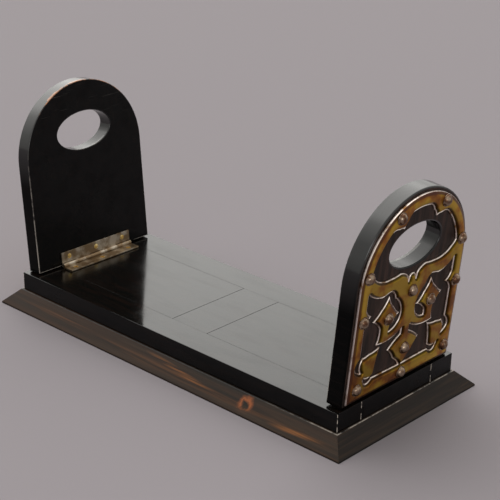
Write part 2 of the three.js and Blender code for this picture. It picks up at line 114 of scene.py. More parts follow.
def colour(tone: Tone) -> Colour:
    """Turns a tone to the linear colour that a shader takes.

    Args:
        tone: six hex digits, with or without a leading #, or a grey's level, or a colour.

    Returns:
        Linear red, green and blue, and an alpha of 1.
    """
    if isinstance(tone, float):
        return (tone, tone, tone, 1.0)
    if isinstance(tone, tuple):
        return tone
    digits = tone.lstrip("#")
    shares = [int(digits[i : i + 2], 16) / 255 for i in (0, 2, 4)]
    linear = [s / 12.92 if s <= 0.04045 else ((s + 0.055) / 1.055) ** 2.4 for s in shares]
    return (linear[0], linear[1], linear[2], 1.0)


def feed(tree: Tree, node: bpy.types.Node, inputs: Inputs) -> None:
    """Gives a node its inputs.

    Args:
        tree: the node tree.
        node: the node.
        inputs: values, hex codes, or sockets to link, by the input's name or number.
    """
    for name, value in inputs.items():
        if isinstance(value, Socket):
            tree.links.new(value, node.inputs[name])
        else:
            node.inputs[name].default_value = colour(value) if isinstance(value, str) else value


def add_node(
    tree: Tree,
    kind: str,
    inputs: Inputs | Sequence[Any] = (),
    out: str | int = 0,
    stops: Sequence[tuple[float, Tone]] = (),
    **settings: Any,
) -> Socket:
    """Adds a shader node with its settings, its values and its links.

    Args:
        tree: the node tree.
        kind: the node's type.
        inputs: what feed takes, or the same in the inputs' order.
        out: the output that is wanted.
        stops: places and tones, for a node that has a colour ramp.
        settings: the node's own settings.

    Returns:
        The socket of that output.
    """
    node = tree.nodes.new(f"ShaderNode{kind}")
    for name, value in settings.items():
        setattr(node, name, value)
    feed(tree, node, inputs if isinstance(inputs, dict) else dict(enumerate(inputs)))
    for index, (place, tone) in enumerate(stops):
        ramp = node.color_ramp.elements
        element = ramp[index] if index < 2 else ramp.new(place)
        element.position = place
        element.color = colour(tone)
    return node.outputs[out]


@dataclass(frozen=True)
class Finish:
    """A finish, with the name of the real material."""

    name: str

    def paint(self, add: Add, place: Socket) -> Inputs:
        """Adds the finish's pattern nodes.

        Args:
            add: adds a node to the material.
            place: the socket of the piece's own coordinates, in metres.

        Returns:
            What the shader's inputs get.
        """
        raise NotImplementedError

    def material(self) -> bpy.types.Material:
        """Makes the material, or finds it when it is there already.

        Returns:
            The material.
        """
        made = bpy.data.materials.get(self.name)
        if not made:
            made = bpy.data.materials.new(self.name)
            made.use_nodes = True
            tree = made.node_tree
            shader = next(n for n in tree.nodes if n.type == "BSDF_PRINCIPLED")
            add = partial(add_node, tree)
            feed(tree, shader, self.paint(add, add("TexCoord", out="Object")))
        return made


@dataclass(frozen=True)
class FrenchPolish(Finish):
    """Ebonised hardwood under French polish: black, with a mirror gloss on the flats.

    A trace of red-brown figure shows where nothing bright is reflected. Hand marks dull the
    polish, and wiping along the boards has thinned it in faint smears.
    """

    name: str = "french_polished_ebonised_wood"
    roughness: float = 0.06
    dulling: float = 0.06
    ior: float = 1.48
    thinned: float = 0.03
    # How much rougher the boards are by the hinges, where wiping doesn't reach.
    unwiped: float = 0.0
    # The foot of a piece is less often rubbed: its IOR, and the heights that it rises between.
    foot_ior: float | None = None
    rubbed: Place = (0.10, 0.14)
    scratched: bool = False
    scratch_shade: str = "#55524e"
    ground: str = "#060605"
    figure: str = "#190f0b"

    def paint(self, add: Add, place: Socket) -> Inputs:
        """Draws faint figure, hand marks and sunk pores under the gloss.

        Args:
            add: adds a node to the material.
            place: the socket of the piece's own coordinates.

        Returns:
            What the shader's inputs get.
        """
        # Figure about 3 mm wide and ten times as long, along the boards.
        along = add("Mapping", {"Vector": place, "Scale": (0.1, 1, 1)})
        noise = {"Vector": along, "Scale": 330.0, "Detail": 6.0, "Distortion": 0.6}
        streaks = add("TexNoise", noise)
        shade = add("ValToRGB", [streaks], stops=((0.44, self.ground), (0.74, self.figure)))
        if self.scratched:
            shade = self.scratch(add, place, shade)
        # Hand marks 20 to 40 mm across dull the polish a little.
        marks = add("TexNoise", {"Vector": place, "Scale": 35.0, "Detail": 3.0})
        dullest = self.roughness + self.dulling
        rough = add("MapRange", (marks, 0.4, 0.75, self.roughness, dullest))
        if self.unwiped:
            across = add("SeparateXYZ", [place], "X")
            out = add("Math", [across], operation="ABSOLUTE")
            more = add("MapRange", (out, 0.05, 0.12, 0.0, self.unwiped))
            rough = add("Math", (rough, more), operation="ADD")
        # Polish sinks a hair's breadth into the pores, drawn as coarse as it needs to show.
        ripple = add("TexNoise", {"Vector": along, "Scale": 420.0, "Detail": 2.0})
        relief = {"Height": ripple, "Strength": 0.05, "Distance": FINE_RELIEF}
        return {
            "Base Color": shade,
            "Roughness": rough,
            "IOR": self.gloss(add, place),
            "Normal": add("Bump", relief),
        }

    def gloss(self, add: Add, place: Socket) -> Socket:
        """Works out how strongly the polish reflects: less at a foot that is seldom rubbed, or in
        smears.

        Args:
            add: adds a node to the material.
            place: the socket of the piece's own coordinates.

        Returns:
            The socket of the IOR.
        """
        if self.foot_ior:
            height = add("SeparateXYZ", [place], "Z")
            return add("MapRange", (height, *self.rubbed, self.foot_ior, self.ior))
        # Smears about 15 mm wide and 60 mm long.
        along = add("Mapping", {"Vector": place, "Scale": (0.25, 1, 1)})
        smears = add("TexNoise", {"Vector": along, "Scale": 70.0, "Detail": 5.0, "Roughness": 0.6})
        return add("MapRange", (smears, 0.36, 0.52, self.ior - self.thinned, self.ior))

    def scratch(self, add: Add, place: Socket, shade: Socket) -> Socket:
        """Draws a few fine pale scratches high up on the ends, where books and hands pass.

        Args:
            add: adds a node to the material.
            place: the socket of the piece's own coordinates.
            shade: the socket of the wood's colour.

        Returns:
            The socket of the colour with scratches.
        """
        # Each about 20 mm long and 0.4 mm wide, a little off level.
        turn, stretch = (0.22, 0, 0), (0.3, 0.02, 1)
        turned = add("Mapping", {"Vector": place, "Rotation": turn, "Scale": stretch})
        lines = add("TexNoise", {"Vector": turned, "Scale": 1500.0, "Detail": 1.0})
        thin = add("MapRange", (lines, 0.68, 0.8))
        height = add("SeparateXYZ", [place], "Z")
        few = add("MapRange", (height, 0.135, 0.165))
        both = add("Math", (thin, few), operation="MULTIPLY")
        return add("Mix", {0: both, 6: shade, 7: self.scratch_shade}, 2, data_type="RGBA")


@dataclass(frozen=True)
class ArrisRubAndHighlight(Finish):
    """An arris with a pale broken line: the black stain rubbed through, and on some arrises partly a
    painted highlight.
    """

    name: str = "ebonised_arris_rubbed_through"
    stain: str = "#0b0a09"
    pale_rub_and_highlight: str = "#b3aaa0"
    warm: str = "#a8622f"
    warm_from: float = 0.15
    along: Axis = Axis.Z
    # Metres along the axis, and how strongly the pale line shows there.
    levels: tuple[Place, ...] = ((-0.1, 1.0), (0.1, 1.0))
    chip: float = 140.0
    span: float = 0.4
    # Above this height only the left end is rubbed.
    left_only_from: float | None = None
    roughness: float = 0.35
    ior: float = 1.4

    def share(self, place: float) -> float:
        """A place on the axis as a share of the ramps."""
        return place / self.span + 0.5

    def paint(self, add: Add, place: Socket) -> Inputs:
        """Draws the pale line where the stain is rubbed through, and on some arrises a painted
        highlight.

        Args:
            add: adds a node to the material.
            place: the socket of the piece's own coordinates.

        Returns:
            What the shader's inputs get.
        """
        reach = add("SeparateXYZ", [place], self.along.name)
        share = add("MapRange", (reach, -self.span / 2, self.span / 2))
        stops = [(self.share(at), amount) for at, amount in self.levels]
        level = add("ValToRGB", [share], stops=stops)
        # Chips of 1 to 7 mm break the line.
        noise = {"Vector": place, "Scale": self.chip, "Detail": 4.0, "Roughness": 0.65}
        chips = add("TexNoise", noise)
        broken = add("MapRange", (chips, 0.4, 0.55))
        amount = add("Math", (broken, level), operation="MULTIPLY")
        if self.left_only_from:
            past = []
            for axis, limit in (("X", 0.0), ("Z", self.left_only_from)):
                where = add("SeparateXYZ", [place], axis)
                past.append(add("Math", (where, limit), operation="GREATER_THAN"))
            spared = add("Math", past, operation="MULTIPLY")
            amount = add("Math", (amount, spared), operation="SUBTRACT")
        turn = self.warm_from
        tones = ((self.share(turn), self.pale_rub_and_highlight), (self.share(turn + 0.01), self.warm))
        tone = add("ValToRGB", [share], stops=tones)
        inputs = {0: amount, 6: self.stain, 7: tone}
        shade = add("Mix", inputs, 2, data_type="RGBA", clamp_factor=True)
        return {"Base Color": shade, "Roughness": self.roughness, "IOR": self.ior}


@dataclass(frozen=True)
class Flame:
    """A patch of orange figure: its middle, its half sizes and its turn."""

    middle: Point
    reach: Point
    turn: Point = (0.0, 0.0, 0.0)
    strength: float = 0.8


@dataclass(frozen=True)
class Coromandel(Finish):
    """Coromandel veneer, cut along the grain and waxed: dark brown with tan and orange streaks."""

    name: str = "coromandel_veneer"
    grain: Axis = Axis.X
    stretch: float = 0.035
    dark: str = "#18110a"
    middle: str = "#261c13"
    light: str = "#392a1e"
    flash: str = "#925a2a"
    # The colour of the redder heart of the wood, and how much of it shows.
    heart: str = "#3d2413"
    heartwood: float = 0.0
    roughness: float = 0.38
    ior: float = 1.3
    flames: tuple[Flame, ...] = ()
    knot: Point | None = None
    knot_reach: Point = (0.0118, 0.013, 0.013)
    knot_warp: float = 0.006
    pith: str = "#14130a"
    curl_shade: str = "#a65c30"

    def paint(self, add: Add, place: Socket) -> Inputs:
        """Draws the veneer's grain, streaks, flames and knot.

        Args:
            add: adds a node to the material.
            place: the socket of the piece's own coordinates.

        Returns:
            What the shader's inputs get.
        """
        stretch = tuple(self.stretch if axis is self.grain else 1.0 for axis in Axis)
        along = add("Mapping", {"Vector": place, "Scale": stretch})
        # Grain lines about 1 mm apart on bands 5 mm wide, each some 30 times as long.
        fine = add("TexNoise", {"Vector": along, "Scale": 950.0, "Detail": 4.0})
        bands = add("TexNoise", {"Vector": along, "Scale": 200.0, "Detail": 4.0, "Distortion": 1.1})
        figure = add("Mix", {0: 0.6, 2: fine, 3: bands}, data_type="FLOAT")
        stops = ((0.36, self.dark), (0.5, self.middle), (0.66, self.light))
        shade = add("ValToRGB", [figure], stops=stops)
        if self.heartwood:
            # The redder heart of the wood shows in soft bands about 10 mm wide.
            wide = add("TexNoise", {"Vector": along, "Scale": 110.0, "Detail": 5.0})
            amount = add("MapRange", (wide, 0.42, 0.62, 0.0, self.heartwood))
            shade = add("Mix", {0: amount, 6: shade, 7: self.heart}, 2, data_type="RGBA")
        for flame in self.flames:
            shade = self.lick(add, place, shade, figure, flame)
        if self.knot:
            shade = self.curl(add, place, shade)
        rough = add("MapRange", (fine, 0.3, 0.7, self.roughness, self.roughness + 0.14))
        bump = add("Bump", {"Height": fine, "Strength": 0.12, "Distance": FINE_RELIEF})
        return {"Base Color": shade, "Roughness": rough, "IOR": self.ior, "Normal": bump}

    def lick(self, add: Add, place: Socket, shade: Socket, figure: Socket, flame: Flame) -> Socket:
        """Draws a long orange lick in the figure.

        Args:
            add: adds a node to the material.
            place: the socket of the piece's own coordinates.
            shade: the socket of the veneer's colour so far.
            figure: the socket of the grain's pattern.
            flame: where the lick is.

        Returns:
            The socket of the colour with the lick on it.
        """
        where = {"Location": flame.middle, "Rotation": flame.turn, "Scale": flame.reach}
        local = add("Mapping", {"Vector": place, **where}, vector_type="TEXTURE")
        away = add("VectorMath", [local], "Value", operation="LENGTH")
        close = add("MapRange", (away, 0.1, 1.0, flame.strength, 0.0))
        streaky = add("MapRange", (figure, 0.4, 0.56))
        both = add("Math", (close, streaky), operation="MULTIPLY")
        return add("Mix", {0: both, 6: shade, 7: self.flash}, 2, data_type="RGBA")

    def curl(self, add: Add, place: Socket, shade: Socket) -> Socket:
        """Draws the orange curl round a knot.

        Args:
            add: adds a node to the material.
            place: the socket of the piece's own coordinates.
            shade: the socket of the veneer's colour so far.

        Returns:
            The socket of the colour with the curl on it.
        """
        warp = add("TexNoise", {"Vector": place, "Scale": 240.0, "Detail": 3.0}, "Color")
        shift = add("VectorMath", {0: warp, "Scale": self.knot_warp}, operation="SCALE")
        moved = add("VectorMath", (place, shift), operation="ADD")
        # The warp moves everything by half of itself on the average.
        middle = tuple(value + self.knot_warp / 2 for value in self.knot)
        where = {"Location": middle, "Scale": self.knot_reach}
        local = add("Mapping", {"Vector": moved, **where}, vector_type="TEXTURE")
        away = add("VectorMath", [local], "Value", operation="LENGTH")
        stops = ((0.18, 0.0), (0.35, 0.8), (0.48, 0.35), (0.68, 0.0))
        ring = add("ValToRGB", [away], stops=stops)
        # The curl is open below.
        height = add("SeparateXYZ", [local], "Z")
        upper = add("MapRange", (height, -0.2, 0.02, 0.08, 1.0))
        curl = add("Math", (ring, upper), operation="MULTIPLY")
        core = add("MapRange", (away, 0.1, 0.33, 0.55, 0.0))
        for mask, tint in ((core, self.pith), (curl, self.curl_shade)):
            shade = add("Mix", {0: mask, 6: shade, 7: tint}, 2, data_type="RGBA")
        return shade


@dataclass(frozen=True)
class StainedPine(Finish):
    """Planed pine under a thin brown stain: dull, with soft wide grain, on hidden wood."""

    name: str = "stained_pine"
    pale: str = "#8a6440"
    dark: str = "#5d3f28"

    def paint(self, add: Add, place: Socket) -> Inputs:
        """Draws soft wide grain under the stain.

        Args:
            add: adds a node to the material.
            place: the socket of the piece's own coordinates.

        Returns:
            What the shader's inputs get.
        """
        # Rings about 6 mm apart, drawn out along the board.
        along = add("Mapping", {"Vector": place, "Scale": (0.08, 1, 1)})
        rings = add("TexNoise", {"Vector": along, "Scale": 160.0, "Detail": 5.0, "Distortion": 1.0})
        shade = add("ValToRGB", [rings], stops=((0.35, self.dark), (0.62, self.pale)))
        relief = {"Height": rings, "Strength": 0.3, "Distance": 2 * FINE_RELIEF}
        return {"Base Color": shade, "Roughness": 0.68, "Normal": add("Bump", relief)}


@dataclass(frozen=True)
class CastBrass(Finish):
    """Cast brass, lacquered long ago: golden flats, black in the sunk bevels, and a painted
    highlight on the lips and the outer edge.
    """

    name: str = "cast_brass_aged"
    flat: str = "#caa43a"
    coppery: str = "#b0742c"
    brown: str = "#86522a"
    sunk: str = "#1e1407"
    # The lips' tones: a painted highlight, dull in some runs and near white in others.
    lip_glint: str = "#fff1e8"
    dull_lip_glint: str = "#9c7650"
    margin: str = "#5e3c34"

    def paint(self, add: Add, place: Socket) -> Inputs:
        """Draws tarnish on the flats, black in the bevels and the painted highlight on the lips.

        Args:
            add: adds a node to the material.
            place: the socket of the piece's own coordinates.

        Returns:
            What the shader's inputs get.
        """
        # Tarnish in soft patches of about 15 mm.
        patches = add("TexNoise", {"Vector": place, "Scale": 65.0, "Detail": 5.0})
        # The painted highlight on the lips runs dull or near white in stretches of about 8 mm.
        highlight_runs = add("TexNoise", {"Vector": place, "Scale": 130.0, "Detail": 4.0})
        # The sand of the mould, about 0.4 mm.
        sand = add("TexNoise", {"Vector": place, "Scale": 1800.0, "Detail": 3.0})
        tones = ((0.36, self.brown), (0.46, self.coppery), (0.58, self.flat))
        shade = add("ValToRGB", [patches], stops=tones)
        lip_highlight = add("ValToRGB", [highlight_runs], stops=((0.32, self.dull_lip_glint), (0.46, self.lip_glint)))
        # Both distances run to 4 mm. From the outside: a painted highlight on the edge, a coppery
        # bevel, the flat.
        # From a piercing: a painted highlight along the lips, a black bevel, the flat.
        edge = add("Attribute", out="Fac", attribute_name="from_margin")
        rim = add("Attribute", out="Fac", attribute_name="from_piercing")
        bevel = ((0.18, 0.0), (0.26, 0.95), (0.46, 0.85), (0.6, 0.35), (0.85, 0.0))
        for away, levels, tint in (
            (edge, ((0.45, 0.88), (0.7, 0.0)), self.margin),
            (rim, bevel, self.sunk),
            (rim, ((0.18, 1.0), (0.26, 0.0)), lip_highlight),
            (edge, ((0.02, 0.9), (0.07, 0.0)), lip_highlight),
        ):
            mask = add("ValToRGB", [away], stops=levels)
            shade = add("Mix", {0: mask, 6: shade, 7: tint}, 2, data_type="RGBA")
        dull = add("MapRange", (patches, 0.0, 1.0, 0.42, 0.26))
        bump = add("Bump", {"Height": sand, "Strength": 0.25, "Distance": FINE_RELIEF})
        return {"Base Color": shade, "Metallic": 1.0, "Roughness": dull, "Normal": bump}


@dataclass(frozen=True)
class TurnedBrass(Finish):
    """Brass stampings and turnings with a thin tarnish: clean and brown in soft patches."""

    name: str = "stud_brass_tarnished"
    clean: str = "#ac9884"
    tarnish: str = "#684a38"
    roughness: float = 0.2
    patch: float = 260.0
    bump: float = 0.02

    def paint(self, add: Add, place: Socket) -> Inputs:
        """Draws tarnish in soft patches.

        Args:
            add: adds a node to the material.
            place: the socket of the piece's own coordinates.

        Returns:
            What the shader's inputs get.
        """
        patches = add("TexNoise", {"Vector": place, "Scale": self.patch, "Detail": 4.0})
        shade = add("ValToRGB", [patches], stops=((0.42, self.tarnish), (0.62, self.clean)))
        dull, lip_highlight = self.roughness + 0.16, self.roughness - 0.04
        rough = add("MapRange", (patches, 0.0, 1.0, dull, lip_highlight))
        relief = {"Height": patches, "Strength": self.bump, "Distance": FINE_RELIEF}
        bump = add("Bump", relief)
        return {"Base Color": shade, "Metallic": 1.0, "Roughness": rough, "Normal": bump}


@dataclass(frozen=True)
class PaleFloor(Finish):
    """Plain matt paper for the floor."""

    name: str = "pale_paper"
    shade: str = "#8c868a"

    def paint(self, add: Add, place: Socket) -> Inputs:
        """Gives the floor its one dull tone."""
        return {"Base Color": self.shade, "Roughness": 0.9, "IOR": 1.3}


POLISH = FrenchPolish(unwiped=0.1)
DULL_POLISH = FrenchPolish(
    "ebonised_wood_dulled", 0.22, 0.1, 1.25, scratched=True, ground="#040404", figure="#0f0a08"
)
EDGE_POLISH = FrenchPolish(
    "ebonised_wood_edge_polish", 0.13, 0.08, 1.7, foot_ior=1.13, ground="#050505", figure="#0e0a09"
)
# The toe's upright strip is painted near black: a painted contact shadow along the floor.
TOE_PAINTED_SHADOW = FrenchPolish(
    "plinth_toe_blackened", roughness=0.5, ior=1.3, ground="#050403", figure="#0d0906"
)
# The ends' inner arrises: a pale line up from the foot, brightest there, partly rubbed-through stain
# and partly a painted highlight; and an orange rub over the top of the left arch.
END_ARRIS = ArrisRubAndHighlight(
    "end_arris_rubbed_through",
    warm="#a8714c",
    levels=((0.02, 1.0), (0.07, 0.6), (0.115, 0.25), (0.13, 0.0), (0.156, 0.0), (0.164, 1.0)),
    left_only_from=0.14,
    roughness=0.16,
    ior=1.66,
)
JOINT_ARRIS = ArrisRubAndHighlight("platform_arris_chipped", pale_rub_and_highlight="#d2c6ba", chip=420.0)
# The ledges' arrises carry a pale line, partly rub and partly a painted highlight where the ledge's
# top catches the light; here it is strongest towards the right corner.
FRONT_LEDGE = ArrisRubAndHighlight(
    "coromandel_ledge_rubbed_at_the_corner",
    pale_rub_and_highlight="#978d82",
    warm_from=0.25,
    along=Axis.X,
    levels=((-0.175, 0.3), (-0.11, 0.08), (0.1, 0.05), (0.15, 0.8)),
)
# On the end mouldings the pale line runs the whole ledge: partly rub, partly a painted highlight.
END_LEDGE = ArrisRubAndHighlight("coromandel_ledge_rubbed", pale_rub_and_highlight="#aaa095", chip=90.0)
FRONT_VENEER = Coromandel(
    heartwood=0.6,
    flames=(
        Flame((0.024, -0.0714, 0.0079), (0.045, 0.003, 0.0021), (0.0, 0.077, -0.08), 0.75),
        Flame((0.138, -0.074, 0.0047), (0.028, 0.003, 0.0018), (0.0, -0.05, 0.05), 0.8),
        Flame((0.05, -0.0735, 0.0058), (0.16, 0.004, 0.003), strength=0.25),
        Flame((-0.12, -0.072, 0.0075), (0.05, 0.004, 0.003), strength=0.2),
    ),
    knot=(0.089, -0.0725, 0.0067),
)
CROSS_VENEER = Coromandel(
    "coromandel_veneer_end", Axis.Y, dark="#110c08", middle="#1f1610", light="#332519"
)
UPRIGHT_VENEER = Coromandel(
    "coromandel_veneer_upright", Axis.Z, 0.04, "#140e0b", "#2a1e18", "#43302a", ior=1.26
)
PINE = StainedPine()
BEECH = StainedPine("turned_beech", pale="#b08a5c", dark="#8a6640")
MOUNT_BRASS = CastBrass()
STUD_BRASS = TurnedBrass()
HINGE_BRASS = TurnedBrass("hinge_brass_aged", "#c6baa8", "#8b765c", 0.36, 130.0, 0.1)
SCREW_BRASS = TurnedBrass("screw_brass_golden", "#fff0b0", "#e0b460", 0.3, 500.0)


def clear_bench(keep: bpy.types.Object | None = None) -> None:
    """Leaves edit mode and selects nothing, or one object alone.

    Args:
        keep: the object that is worked on next, if it is there already.
    """
    if bpy.context.mode != "OBJECT":
        bpy.ops.object.mode_set(mode="OBJECT")
    bpy.ops.object.select_all(action="DESELECT")
    if keep:
        keep.select_set(True)
        bpy.context.view_layer.objects.active = keep


def add_object(name: str, data: bpy.types.ID) -> bpy.types.Object:
    """Adds a mesh, a lamp or a camera to the scene.

    Args:
        name: its name.
        data: what it shows.

    Returns:
        The object.
    """
    made = bpy.data.objects.new(name, data)
    bpy.context.scene.collection.objects.link(made)
    return made


class Workpiece:
    """One mesh on the bench, shaped by edit-mode operators."""

    def __init__(self, name: str, *finishes: Finish) -> None:
        """Takes up the object that a primitive operator has just added.

        Args:
            name: the piece's name.
            finishes: its finishes, the first of them all over.
        """
        self.obj: bpy.types.Object = bpy.context.object
        self.obj.name = name
        self.obj.data.name = name
        bpy.ops.object.transform_apply(location=True, rotation=True, scale=True)
        for finish in finishes:
            self.obj.data.materials.append(finish.material())

    @classmethod
    def block(cls, name: str, low: Spot, high: Spot, *finishes: Finish) -> Workpiece:
        """Adds a rectangular blank.

        Args:
            name: the piece's name.
            low: its lowest corner.
            high: its highest corner.
            finishes: its finishes.

        Returns:
            The blank.
        """
        clear_bench()
        middle = [(a + b) / 2 for a, b in zip(low, high)]
        bpy.ops.mesh.primitive_cube_add(size=1, location=middle)
        bpy.context.object.scale = [b - a for a, b in zip(low, high)]
        return cls(name, *finishes)

    @classmethod
    def rod(
        cls, name: str, radius: float, start: Spot, end: Spot, *finishes: Finish, sides: int = 32
    ) -> Workpiece:
        """Adds a round blank from one point to another.

        Args:
            name: the piece's name.
            radius: its radius.
            start: the middle of its first end.
            end: the middle of its other end.
            finishes: its finishes.
            sides: its number of flats.

        Returns:
            The blank.
        """
        clear_bench()
        run = Vector(end) - Vector(start)
        bpy.ops.mesh.primitive_cylinder_add(
            vertices=sides,
            radius=radius,
            depth=run.length,
            location=(Vector(start) + Vector(end)) / 2,
            rotation=run.to_track_quat("Z", "X").to_euler(),
        )
        return cls(name, *finishes)

    @classmethod
    def section(
        cls, name: str, x: float, low: Place, high: Place, *finishes: Finish
    ) -> Workpiece:
        """Adds a flat sheet standing across the X axis, to be cut to a moulding's section.

        Args:
            name: the piece's name.
            x: where the sheet stands.
            low: its lowest Y and Z.
            high: its highest Y and Z.
            finishes: its finishes.

        Returns:
            The sheet.
        """
        clear_bench()
        bpy.ops.mesh.primitive_plane_add(
            size=1,
            location=(x, (low[0] + high[0]) / 2, (low[1] + high[1]) / 2),
            rotation=(0, math.pi / 2, 0),
        )
        bpy.context.object.scale = (high[1] - low[1], high[0] - low[0], 1)
        return cls(name, *finishes)

    def pick(self, kind: Pick, test: Callable[[Any], bool] = lambda element: True) -> None:
        """Selects faces, edges or corners in edit mode.

        Args:
            kind: what to select.
            test: says of each one whether it is wanted.
        """
        bpy.context.view_layer.objects.active = self.obj
        bpy.ops.object.mode_set(mode="EDIT")
        bpy.ops.mesh.select_mode(type=kind.name)
        bpy.ops.mesh.select_all(action="DESELECT")
        shape = bmesh.from_edit_mesh(self.obj.data)
        for element in getattr(shape, kind.value):
            if test(element):
                element.select_set(True)
        shape.select_flush_mode()
        bmesh.update_edit_mesh(self.obj.data)

    def done(self) -> Workpiece:
        """Leaves edit mode, with the faces turned outwards.

        Returns:
            The piece.
        """
        self.pick(Pick.FACE)
        bpy.ops.mesh.remove_doubles(threshold=WELD)
        bpy.ops.mesh.normals_make_consistent(inside=False)
        bpy.ops.object.mode_set(mode="OBJECT")
        return self

    def saw(self, point: Spot, normal: Spot, drop: bool = True) -> None:
        """Saws along a plane, and drops what lies past it or only marks the line.

        Args:
            point: a point on the plane.
            normal: the plane's normal, which points to what is dropped.
            drop: whether anything is dropped.
        """
        self.pick(Pick.FACE)
        bpy.ops.mesh.bisect(plane_co=point, plane_no=normal, use_fill=drop, clear_outer=drop)

    def mark(self, axis: Axis, place: float) -> None:
        """Marks a line all round, at a place on an axis."""
        self.saw(axis.value * place, axis.value, drop=False)

    def draw_out(self, test: Callable[[Any], bool], by: Spot) -> None:
        """Extrudes the faces that pass a test.

        Args:
            test: says of each face whether it is drawn out.
            by: how far it goes.
        """
        self.pick(Pick.FACE, test)
        self.push(by)

    def push(self, by: Spot) -> None:
        """Extrudes the faces that are selected."""
        bpy.ops.mesh.extrude_region_move(TRANSFORM_OT_translate={"value": tuple(by)})

    def tidy_flats(self) -> None:
        """Joins faces that lie in one plane."""
        self.pick(Pick.FACE)
        bpy.ops.mesh.dissolve_limited(angle_limit=FLAT_TURN)

    def round_over(
        self, width: float, segments: int, test: Callable[[Any], bool], finish: int = -1
    ) -> None:
        """Rounds the arrises that pass a test.

        Args:
            width: the round's width.
            segments: its number of flats.
            test: says of each sharp edge whether it is rounded.
            finish: the number of the finish that the round gets.
        """
        self.pick(Pick.EDGE, lambda e: e.calc_face_angle(0) > ARRIS_TURN and test(e))
        bpy.ops.mesh.bevel(offset=width, segments=segments, affect="EDGES", material=finish)

    def cut_away(self, cutter: Workpiece) -> None:
        """Cuts another piece's shape out of this one, and discards the cutter."""
        self.combine(cutter, "DIFFERENCE")

    def combine(self, other: Workpiece, operation: str) -> None:
        """Joins or cuts with another piece, and discards it.

        Args:
            other: the other piece.
            operation: the boolean modifier's operation.
        """
        for piece in (self, other):
            piece.done()
        modifier = self.obj.modifiers.new("combine", "BOOLEAN")
        modifier.operation = operation
        modifier.object = other.obj
        modifier.solver = "EXACT"
        self.apply(modifier)
        bpy.data.objects.remove(other.obj)

    def apply(self, modifier: bpy.types.Modifier) -> None:
        """Applies a modifier."""
        bpy.context.view_layer.objects.active = self.obj
        bpy.ops.object.modifier_apply(modifier=modifier.name)

    def paint_faces(self, finish: int, test: Callable[[bpy.types.MeshPolygon], bool]) -> None:
        """Gives the faces that pass a test another of the piece's finishes.

        Args:
            finish: the number of that finish.
            test: says of each face whether it gets it.
        """
        for face in self.obj.data.polygons:
            if test(face):
                face.material_index = finish

    def smooth(self, degrees: float = 35) -> Workpiece:
        """Shades round parts smooth and keeps the flats flat.

        Args:
            degrees: the angle from which an edge stays sharp.

        Returns:
            The piece.
        """
        clear_bench(self.obj)
        bpy.ops.object.shade_smooth_by_angle(angle=math.radians(degrees))
        modifier = self.obj.modifiers.new("flats", "WEIGHTED_NORMAL")
        modifier.keep_sharp = True
        self.apply(modifier)
        return self

    def copy(self, name: str, place: Matrix) -> Workpiece:
        """Makes a copy with its own mesh, moved to its place.

        Args:
            name: the copy's name.
            place: where it goes.

        Returns:
            The copy.
        """
        twin = add_object(name, self.obj.data.copy())
        twin.matrix_world = place
        clear_bench(twin)
        return Workpiece(name)

    def discard(self) -> None:
        """Removes a pattern piece once its copies are made."""
        bpy.data.objects.remove(self.obj)

    def fit(self, body: str, slot: Slot, *nodes: str) -> None:
        """Puts the finished piece on its body, in the place of its solids.

        Args:
            body: the body that it rides on.
            slot: the record's slot for its finish; not used.
            nodes: the solids that it stands for.
        """
        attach(self.obj, body)
        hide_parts(*nodes)
        log.info("%s: %d faces, on %s", self.obj.name, len(self.obj.data.polygons), body)


def near(a: float, b: float) -> bool:
    """Says whether two lengths are the same for a selection."""
    return abs(a - b) < NEAR


def edge_at(**places: float) -> Callable[[Any], bool]:
    """Makes a test for edges that lie at given places on the axes.

    Args:
        places: the places, by x, y or z.

    Returns:
        The test.
    """
    return lambda edge: all(
        near(getattr(corner.co, axis), place)
        for corner in edge.verts
        for axis, place in places.items()
    )


def round_the_bar(edge: Any) -> bool:
    """Says whether an edge of a bar along Y goes round it."""
    return near(edge.verts[0].co.y, edge.verts[1].co.y)


